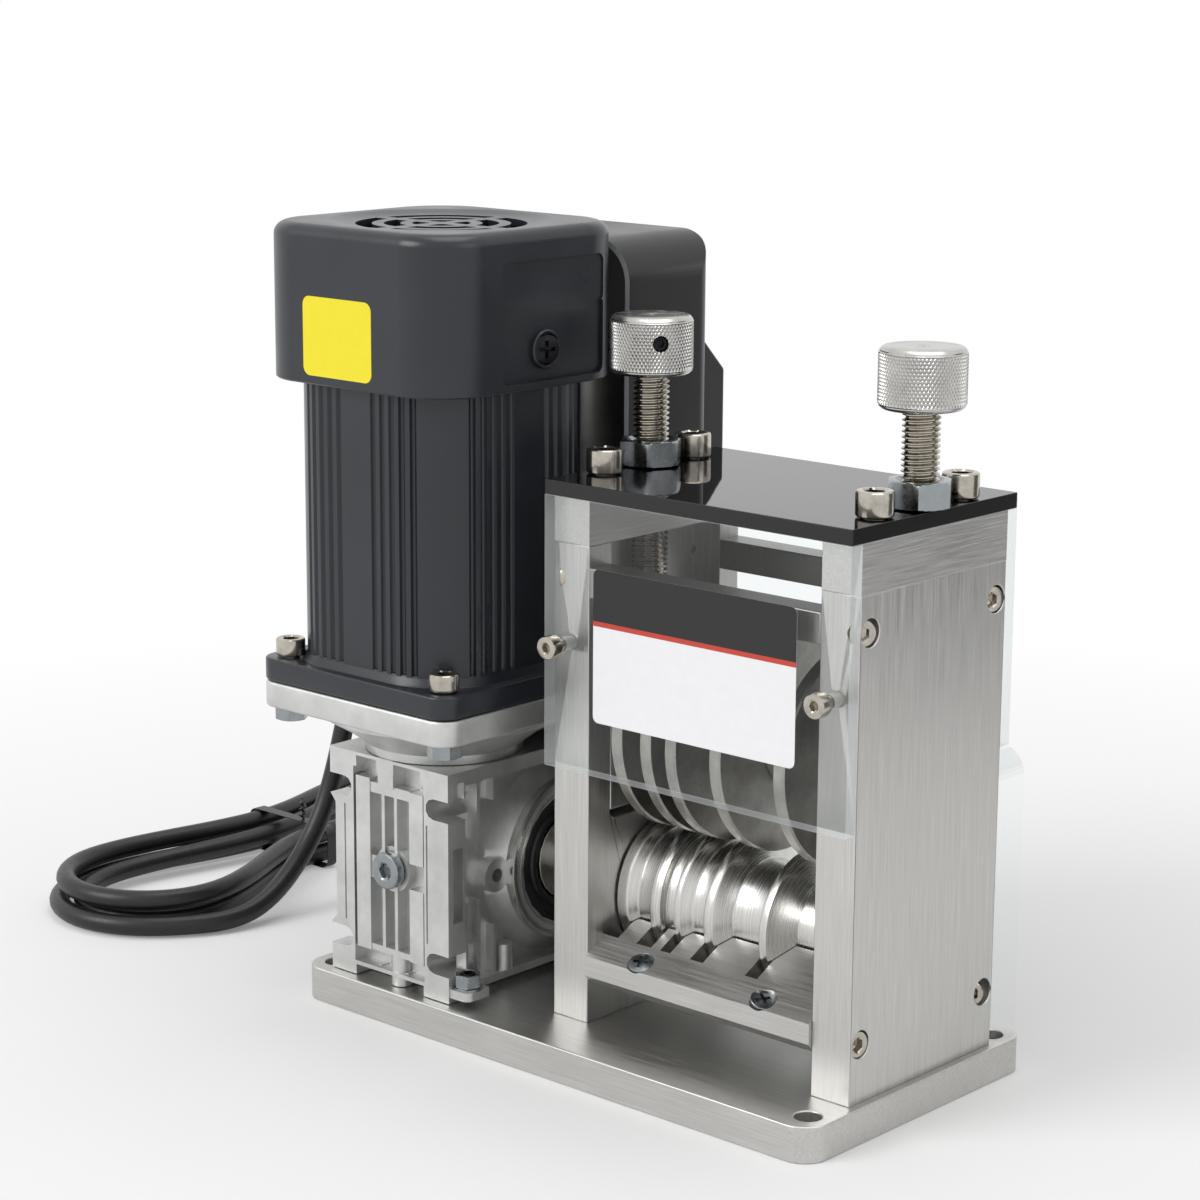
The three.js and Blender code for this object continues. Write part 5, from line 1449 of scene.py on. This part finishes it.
class STRIPPER_OT_gearbox(bpy.types.Operator):
    """Worm gearbox with its ribs, feet, hub, seal and oil plug"""

    bl_idname = "stripper.gearbox"
    bl_label = "Gearbox"

    # Cast relief in millimetres: across from and to the motor's axis, back from the front, up from the base
    CUTS = (
        (-16.9, 16.9, -1, 4.9, 5.2, 74.6),
        (-15.5, -5.6, -1, 5.5, 71.8, 78.6), (2.6, 15.5, -1, 5.5, 70.4, 78.6),
        (-15.5, -2.6, -1, 5.0, 5.8, 10.8), (6.4, 15.5, -1, 5.0, 5.8, 10.8),
        (-16.5, 16.5, -1, 7.0, -1, 3.6),
        (23.2, 29, 8.2, 17, 5.2, 74.6), (-29, -23.2, 8.2, 17, 5.2, 74.6),
        (22.5, 29, 2.3, 7.0, 27.5, 53.5), (-29, -22.5, 2.3, 7.0, 27.5, 53.5),
        (27.0, 29, 2.6, 7.6, 68, 76), (-29, -27.0, 2.6, 7.6, 68, 76),
        (24, 29, 17, 97, -1, 2.4), (-29, -24, 17, 97, -1, 2.4),
        (-21.7, -21.0, -1, 0.7, 19, 60.5), (18.0, 18.7, -1, 0.7, 19, 60.5),
    )
    RIBS = (
        (-16.2, -9.4, 0.4, 5.2, 10.4, 71.6), (9.6, 16.2, 0.4, 5.2, 10.4, 36.2),
        (9.6, 16.2, 0.4, 5.2, 45.2, 70.2), (-4.1, -2.7, 0.9, 5.2, 12, 67.5),
        (1.9, 3.3, 0.9, 5.2, 12, 67.5), (-9.6, 9.8, 0.7, 5.2, 66.8, 70.4),
        (-9.6, 9.8, 0.7, 5.2, 10.6, 12.8), (-5.2, 2.2, 0.2, 5.6, 69.8, 79.8),
        (-9.6, -5.0, 0.9, 5.2, 36.5, 44.5),
    )
    SIDE_RIBS = (
        (22.8, 27.4, 9.4, 10.6, 6, 33), (22.8, 27.6, 14.6, 16.0, 54, 78), (22.8, 27.6, 14.6, 16.0, 5, 33),
        (22.8, 26.6, 23.6, 25.0, 66, 76), (22.8, 26.6, 23.6, 25.0, 5, 22),
    )
    # Radius of the worm wheel's steel bush
    bush_radius = 15.2 * MM

    def execute(self, context):
        self.add_housing()
        dressed("hub_cover", "die_cast_aluminium", 0.4)
        self.add_hub()
        self.add_oil_plug()
        dressed("worm_shaft", "hardened_steel", 0.3)
        wheel = dressed("worm_wheel", "cast_bronze", 0.3)
        wheel.data.materials.append(finish("hardened_steel"))
        for face in wheel.data.polygons:
            if math.hypot(face.center.y - FEED_AXIS[0], face.center.z - FEED_AXIS[1]) < self.bush_radius:
                face.material_index = 1
        return {"FINISHED"}

    def relief(self, spans):
        """Block of cast relief."""
        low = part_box("gearbox_housing")[0]
        x0, x1, y0, y1, z0, z1 = (value * MM for value in spans)
        x = DRIVE_AXIS[0]
        return block((x + x0, low.y + y0, low.z + z0), (x + x1, low.y + y1, low.z + z1))

    def add_housing(self):
        x = DRIVE_AXIS[0]
        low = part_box("gearbox_housing")[0]
        front, bottom = low.y, low.z
        tools = [self.relief(spans) for spans in self.CUTS]
        edge, step = x - 28.6 * MM, 2.6 * MM
        waist = [(edge, bottom + 16.5 * MM), (edge + step, bottom + 19.5 * MM),
                 (edge + step, bottom + 60.2 * MM), (edge, bottom + 63.2 * MM)]
        tools.append(sheet("y", [waist], front - MM, front + 9 * MM))
        parts = [carved(copy_of("gearbox_housing"), tools)]
        parts += [self.relief(spans) for spans in self.RIBS]
        for x0, x1, *rest in self.SIDE_RIBS:
            parts.append(self.relief((x0, x1, *rest)))
            parts.append(self.relief((-x1, -x0, *rest)))
        parts.append(rod("y", (x, middle("oil_plug").z), front + 1.9 * MM, front + 5.2 * MM, 8 * MM))
        parts.append(rod("z", (x + 2 * MM, front + 4 * MM), bottom, bottom + 11.5 * MM, 3.6 * MM, 32))
        for side in (-1, 1):
            spot = (x + side * 25.5 * MM, front + 29.5 * MM)
            parts.append(rod("z", spot, bottom + 4.5 * MM, bottom + 14 * MM, 3.3 * MM, 32))
        lug = rounded((x + 26 * MM, LUG[1] - 5 * MM), (LUG[0] + 4.6 * MM, LUG[1] + 6 * MM),
                      (0, 3 * MM, MM, 0))
        parts.append(sheet("z", [lug], bottom + 2.2 * MM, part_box("base_plate")[1].z + LUG_TOP))
        fine_piece("gearbox_housing", softened(joined(parts), 0.4 * MM, 38), "die_cast_aluminium")

    def add_hub(self):
        """Machined ring on the hub's face and the lipped seal inside it."""
        low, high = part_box("output_seal")
        ring = offsets(high.x + 0.3 * MM, (-3, 23.6), (-3, 28.7), (0.05, 28.7), (0.35, 28.2), (0.35, 26.6),
                       (-0.5, 26.2), (-0.5, 24.9), (0.1, 24.6), (0.1, 23.7))
        mesh = smoothed(turned("x", FEED_AXIS, ring, 128, loop=True), 30)
        piece_of("hub_ring", mesh, "turned_roller", "frame")
        seal = offsets(low.x, (0, 15.4), (0, 23.4))
        seal += offsets(high.x, (-0.6, 23.4), (0, 22.8), (0, 21.6), (-1.1, 21.2), (-1.1, 18.4), (-0.2, 17.8),
                        (0, 16.6), (-0.4, 15.6))
        mesh = smoothed(turned("x", FEED_AXIS, seal, 96, loop=True), 30)
        fine_piece("output_seal", mesh, "nitrile_rubber")

    def add_oil_plug(self):
        plug = cap_screw(12.8 * MM, 4 * MM, 5 * MM, 2.5 * MM, 8 * MM, 6.5 * MM, 60)
        place = middle("oil_plug")
        place.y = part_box("oil_plug")[0].y + 4 * MM
        copies("oil_plug_fine", plug, [place], [(math.radians(90), 0, 0)], "zinc_plate", "frame", "oil_plug")


class STRIPPER_OT_motor(bpy.types.Operator):
    """Motor with its adaptor, fluted body, cowl, grille and fan"""

    bl_idname = "stripper.motor"
    bl_label = "Motor"

    corner = 25 * MM
    flange_corner = 7.5 * MM
    flute_first = 8 * MM
    flute_pitch = 4.2 * MM
    flute_count = 5
    flute_depth = 1.3 * MM
    # Outer radius of the grille, and widths of its rings' pitch, its rings and half its spokes
    grille = (28.5 * MM, 9.4 * MM, 3.9 * MM, 2.4 * MM)

    def execute(self, context):
        self.add_adaptor()
        self.add_body()
        self.add_cowl()
        dressed("cooling_fan", "moulded_plastic", 0.3)
        for node in ("stator", "rotor"):
            dressed(node, "hardened_steel", 0.3)
        return {"FINISHED"}

    def square(self, half, radius, steps=12):
        x, y = DRIVE_AXIS
        return rounded((x - half, y - half), (x + half, y + half), radius, steps)

    def add_adaptor(self):
        low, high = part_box("motor_adaptor")
        half = (high.x - low.x) / 2
        bottom = high.z - 9 * MM
        flange = sheet("z", [self.square(half, self.flange_corner)], bottom, high.z, MM)
        neck = offsets(low.z, (0, 0), (0, 27), (3, 27.5), (8, 34))
        neck += offsets(bottom, (-2, 42), (0, 43), (1, 43), (1, 0))
        neck = turned("z", DRIVE_AXIS, neck, 96)
        mesh = joined([smoothed(flange), smoothed(neck, 30)])
        fine_piece("motor_adaptor", mesh, "die_cast_aluminium")

    def fluted_square(self, half):
        """Rounded square with upright flutes in each face."""
        x, y = DRIVE_AXIS
        flat, bend = half - self.corner, self.corner * math.pi / 2
        fine = 0.3 * MM
        count, arc = round(2 * flat / fine), round(bend / fine)
        side = [(-flat + 2 * flat * i / count, half, (0, 1)) for i in range(count)]
        for i in range(arc):
            angle = math.pi / 2 * (1 - i / arc)
            way = (math.cos(angle), math.sin(angle))
            side.append((flat + self.corner * way[0], flat + self.corner * way[1], way))
        points = []
        for quarter in range(4):
            turn = Matrix.Rotation(-quarter * math.pi / 2, 2)
            for k, (u, v, way) in enumerate(side):
                past = (k - count) / arc * self.corner * math.pi / 2
                run = abs(u) if k < count else flat + past
                back = run if k < count else flat + bend - past
                depth = 0.0
                for along in (run, back):
                    phase = (along - self.flute_first) / self.flute_pitch
                    if -0.5 < phase < self.flute_count - 0.5 and abs(phase - round(phase)) < 0.25:
                        depth = self.flute_depth * math.cos((phase - round(phase)) * 2 * math.pi) ** 0.5
                spot = turn @ Vector((u - way[0] * depth, v - way[1] * depth))
                points.append((x + spot.x, y + spot.y))
        return points

    def add_body(self):
        """Front bell, fluted body with a collar at its foot, and rear bell."""
        low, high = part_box("motor_body")
        wide = (high.x - low.x) / 2
        half = wide - 5 * MM
        foot, ease = low.z + 7.7 * MM, 0.8 * MM
        flange = sheet("z", [self.square(wide, self.flange_corner)], low.z, foot, ease)
        body = sheet("z", [self.fluted_square(half)], foot - MM, COWL[0].z + 2 * MM)
        collar = []
        for rise, grow in ((-0.3, 1.6), (0.8, 0.8), (2.2, 0.35), (3.2, -0.4)):
            collar.append((foot + rise * MM, self.square(half + grow * MM, self.corner)))
        bell = sheet("z", [self.square(half + 2.2 * MM, 18 * MM)], high.z - 15 * MM, high.z, ease)
        mesh = joined([smoothed(flange), smoothed(body), smoothed(stacked(collar), 40), smoothed(bell)])
        fine_piece("motor_body", mesh, "motor_enamel")

    def add_cowl(self, steps=16, rows=8):
        """Hollow cap with a domed edge, a dished top with its grille, and a panel on its right."""
        low, high = COWL
        half = (high.x - low.x) / 2
        corner, ease, wall = 20 * MM, 4.5 * MM, 2.5 * MM
        rim = 0.5 * MM
        levels = [(low.z, self.square(half - rim, corner - rim, steps)),
                  (low.z + rim, self.square(half, corner, steps))]
        for i in range(rows + 1):
            angle = math.pi / 2 * i / rows
            inset = ease * (1 - math.cos(angle))
            outline = self.square(half - inset, corner - inset * 0.6, steps)
            levels.append((high.z - ease + ease * math.sin(angle), outline))
        dish = 1.3 * MM
        inside = self.square(half - wall, corner - wall, steps)
        ceiling = self.square(half - wall - 4 * MM, corner - wall - 2 * MM, steps)
        inner = [(low.z - MM, inside), (high.z - ease - dish, inside), (high.z - wall - dish, ceiling)]
        basin = [(high.z - dish, 0), (high.z - dish, 31 * MM), (high.z - 0.6 * dish, 33.5 * MM),
                 (high.z - 0.15 * dish, 36.5 * MM), (high.z + 0.2 * dish, 39 * MM), (high.z + 0.2 * dish, 0)]
        tools = [stacked(inner), turned("z", DRIVE_AXIS, basin, 96)]
        tools.append(joined(self.grille_slots(high.z, wall + dish)))
        tools += self.panel_tools(DRIVE_AXIS[0] + half)
        fine_piece("fan_cowl", softened(carved(stacked(levels), tools), 0.35 * MM, 50), "motor_enamel")

    def grille_slots(self, top, wall, steps=14):
        """Sectors between the rings and spokes of the grille."""
        x, y = DRIVE_AXIS
        outer, pitch, ring, spoke = self.grille
        tools = []
        for k in range(3):
            far = outer - k * pitch
            near = far - pitch + ring
            for quarter in range(4):
                start = quarter * math.pi / 2
                points = []
                for radius, way in ((far, 1), (near, -1)):
                    gap = math.asin(spoke / radius)
                    sweep = math.pi / 2 - 2 * gap
                    angles = [start + gap + sweep * i / steps for i in range(steps + 1)][::way]
                    points += [(x + radius * math.cos(a), y + radius * math.sin(a)) for a in angles]
                tools.append(sheet("z", [points], top - wall - MM, top + MM))
        return tools

    def panel_tools(self, face):
        """Shallow panel in the cowl's right face, deeper below a step."""
        near, far = -44.3 * MM, 4.7 * MM
        upper = rounded((near, 246 * MM), (far, 262 * MM), 3 * MM)
        lower = rounded((near, 222.5 * MM), (far, 246.5 * MM), (3 * MM, 3 * MM, 0.2 * MM, 0.2 * MM))
        return [sheet("x", [upper], face - 1.5 * MM, face + MM),
                sheet("x", [lower], face - 2.0 * MM, face + MM)]


class STRIPPER_OT_control_box(bpy.types.Operator):
    """Folded control box behind the motor, with its switch and capacitor"""

    bl_idname = "stripper.control_box"
    bl_label = "Control box"

    sheet_metal = 2 * MM
    gland_hole = 6.6 * MM

    def folded(self, inset, front):
        """Solid with the box's rounded elevation and plan, set in from its faces."""
        low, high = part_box("control_box")
        over = MM if inset else 0
        top, back = 15 * MM - inset, 8 * MM - inset
        right = high.x - inset
        face = rounded((low.x + inset, low.z - over), (right, high.z - inset), (0, 0, top, top), 12)
        plan = rounded((low.x + inset, front), (right, high.y - inset), (0, 0, back, back), 8)
        tall = sheet("y", [face], front, high.y + MM)
        deep = sheet("z", [plan], low.z - 2 * MM, high.z + MM)
        return carved(tall, [deep], "INTERSECT")

    def execute(self, context):
        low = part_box("control_box")[0]
        outer = self.folded(0, low.y)
        inner = self.folded(self.sheet_metal, low.y - MM)
        hole = rod("x", middle("cable_gland").yz, low.x - MM, low.x + 4 * MM, self.gland_hole)
        mesh = softened(carved(outer, [inner, hole]), 0.3 * MM)
        fine_piece("control_box", mesh, "powder_coat")
        mesh.materials.append(finish("primed_edge"))
        for face in mesh.polygons:
            if face.normal.y < -0.9 and face.center.y < low.y + 0.5 * MM:
                face.material_index = 1
        dressed("switch_housing", "moulded_plastic", 0.8)
        dressed("rocker_switch", "moulded_plastic", 0.5)
        dressed("capacitor", "die_cast_aluminium", 0.8)
        return {"FINISHED"}


class STRIPPER_OT_fasteners(bpy.types.Operator):
    """Screws, bolts and nuts on the cover, plates, shield, comb, motor and cowl"""

    bl_idname = "stripper.fasteners"
    bl_label = "Screws and nuts"

    def execute(self, context):
        sizes = context.scene.stripper_fasteners
        names = [f"cover_screw_{i}" for i in range(1, 5)]
        places = [(*middle(name).xy, COVER[1].z + 0.3 * MM) for name in names]
        screw = cap_screw(sizes.cover_head, sizes.cover_depth, 6 * MM, 4 * MM, 8 * MM, 16.5 * MM)
        turns = [(0, 0, math.radians(angle)) for angle in (10, 37, 22, 48)]
        copies("cover_screws", screw, places, turns, "nickel_plate", "frame", *names)

        side = cap_screw(sizes.side_head, 5 * MM, 4 * MM, 2.6 * MM, 5 * MM, 3 * MM)
        for name, way in SIDES.items():
            places = [place - Vector((way * 5.1 * MM, 0, 0)) for place in side_screw_places(name)]
            turns = [(math.radians(angle), math.radians(90 * way), 0) for angle in (8, 31, 52, 19)]
            copies(f"{name}_side_screws", side, places, turns, "nickel_plate", "frame")

        height = 4.6 * MM
        small = cap_screw(sizes.shield_head, height, 3 * MM, 2.4 * MM, 4 * MM, 15.5 * MM)
        names = [f"{name}_shield_screw" for name in SIDES]
        places = [(middle(name).x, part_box(name)[0].y + height, middle(name).z) for name in names]
        turns = [(math.radians(90), 0, 0)] * 2
        copies("shield_screws", small, places, turns, "nickel_plate", "frame", *names)
        self.add_motor_bolts(sizes)
        self.add_comb_screws(sizes)
        self.add_cowl_screw()
        self.add_foot_stud()
        return {"FINISHED"}

    def add_motor_bolts(self, sizes):
        """Bolts down through the motor's flange, and their nuts under the adaptor's."""
        names = [f"motor_bolt_{i}" for i in range(1, 5)]
        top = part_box("motor_body")[0].z + 8 * MM
        bolt = cap_screw(sizes.motor_head, 6 * MM, 5 * MM, 3 * MM, 6 * MM, 21.5 * MM)
        places = [(*middle(name).xy, top) for name in names]
        turns = [(0, 0, math.radians(angle)) for angle in (5, 33, 47, 18)]
        copies("motor_bolts", bolt, places, turns, "nickel_plate", "frame", *names)
        nut = hex_nut(10 * MM, 4.8 * MM, 3.0 * MM)
        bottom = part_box("motor_adaptor")[1].z - 14 * MM
        copies("motor_nuts", nut, [(x, y, bottom) for x, y, _ in places], turns, "zinc_plate", "frame")

    def add_comb_screws(self, sizes):
        """Countersunk cross-recess screws, square to the comb's ramp."""
        turns = [(COMB_SLOPE, 0, math.radians(20)), (COMB_SLOPE, 0, math.radians(65))]
        copies("comb_screws", cross_screw(sizes.comb_head), comb_screw_places(), turns, "zinc_plate", "frame")

    def add_cowl_screw(self):
        """Black cross-recess screw in a round rim on the cowl's right face."""
        face, y, z = COWL[1].x - 2.0 * MM, -22.9 * MM, 232.6 * MM
        copies("cowl_screw", cross_screw(9.4 * MM), [(face + 1.1 * MM, y, z)], [(0.5, math.radians(90), 0)],
               "black_oxide", "frame")
        rim = offsets(face, (-1, 5.3), (1.3, 5.3), (1.7, 5.7), (1.7, 6.0), (1.3, 6.4), (-1, 6.6))
        mesh = smoothed(turned("x", (y, z), rim, 64, loop=True), 30)
        piece_of("cowl_screw_rim", mesh, "motor_enamel", "frame")

    def add_foot_stud(self):
        """Black socket stud with a hexagon nut and a washer, beside the gearbox's foot."""
        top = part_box("base_plate")[1].z + LUG_TOP
        stud = cap_screw(5.2 * MM, 1.6 * MM, 2.6 * MM, 1.3 * MM, 4 * MM, 7.5 * MM)
        nut = hex_nut(8 * MM, 4.6 * MM, 2.7 * MM)
        ring = offsets(0, (0, 2.2), (0, 5), (0.8, 5), (0.8, 2.2))
        washer = smoothed(turned("z", (0, 0), ring, 48, loop=True), 30)
        stack = (
            ("foot_stud", stud, 4 * MM, 0.3, "black_oxide"),
            ("foot_nut", nut, 0.8 * MM, 0.2, "zinc_plate"),
            ("foot_washer", washer, 0, 0, "zinc_plate"),
        )
        for name, mesh, rise, turn, material in stack:
            copies(name, mesh, [(*LUG, top + rise)], [(0, 0, turn)], material, "frame")


class STRIPPER_OT_cards(bpy.types.Operator):
    """Blank card on the shield and plain sticker on the cowl"""

    bl_idname = "stripper.cards"
    bl_label = "Blank card and sticker"

    film = 0.12 * MM
    gap = 0.01 * MM
    corner = 2.2 * MM

    def execute(self, context):
        film, corner = self.film, self.corner
        face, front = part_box("front_shield")[0].y, COWL[0].y
        left, right, bottom, top, line = (value * MM for value in (7.5, 90.0, 117.2, 167.5, 150.6))
        card = rounded((left, bottom), (right, top), corner, 8)
        band = rounded((left, line), (right, top), (0, 0, corner, corner), 8)
        stripe = rounded((left, line - 1.6 * MM), (right, line), 0)
        sticker = rounded((-92 * MM, 223 * MM), (-60 * MM, 249 * MM), 3 * MM, 8)
        films = (
            ("blank_card", card, face - film, face - self.gap, "white_film"),
            ("card_band", band, face - 1.5 * film, face - film, "dark_film"),
            ("card_line", stripe, face - 1.5 * film, face - film, "red_film"),
            ("plain_sticker", sticker, front - film, front - self.gap, "yellow_film"),
        )
        for name, outline, near, far, material in films:
            piece_of(name, smoothed(sheet("y", [outline], near, far)), material, "frame")
        return {"FINISHED"}


OPERATORS = (
    STRIPPER_OT_stage,
    STRIPPER_OT_cord,
    STRIPPER_OT_base,
    STRIPPER_OT_head,
    STRIPPER_OT_covers,
    STRIPPER_OT_feed,
    STRIPPER_OT_blades,
    STRIPPER_OT_adjusters,
    STRIPPER_OT_gearbox,
    STRIPPER_OT_motor,
    STRIPPER_OT_control_box,
    STRIPPER_OT_fasteners,
    STRIPPER_OT_cards,
)

GROUPS = {
    "stripper_colours": StripperColours,
    "stripper_fasteners": StripperFasteners,
    "stripper_knobs": StripperKnobs,
    "stripper_cord": StripperCord,
    "stripper_stage": StripperStage,
}


class STRIPPER_PT_panel(bpy.types.Panel):
    """Lists the machine's pieces in the sidebar"""

    bl_idname = "STRIPPER_PT_panel"
    bl_label = "Wire Stripping Machine"
    bl_space_type = "VIEW_3D"
    bl_region_type = "UI"
    bl_category = "Stripper"

    def draw(self, context):
        for operator in OPERATORS:
            self.layout.operator(operator.bl_idname)
        for name, group in GROUPS.items():
            box = self.layout.box()
            box.label(text=group.__doc__)
            for key in group.__annotations__:
                box.prop(getattr(context.scene, name), key)


def register():
    for group in GROUPS.values():
        bpy.utils.register_class(group)
    for name, group in GROUPS.items():
        setattr(bpy.types.Scene, name, bpy.props.PointerProperty(type=group))
    for operator in OPERATORS:
        bpy.utils.register_class(operator)
    bpy.utils.register_class(STRIPPER_PT_panel)


def unregister():
    bpy.utils.unregister_class(STRIPPER_PT_panel)
    for operator in reversed(OPERATORS):
        bpy.utils.unregister_class(operator)
    for name, group in GROUPS.items():
        delattr(bpy.types.Scene, name)
        bpy.utils.unregister_class(group)


def main():
    """Register the add-on and make every piece in order."""
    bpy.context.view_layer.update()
    register()
    for operator in OPERATORS:
        group, name = operator.bl_idname.split(".")
        getattr(getattr(bpy.ops, group), name)()


if __name__ == "__main__":
    main()
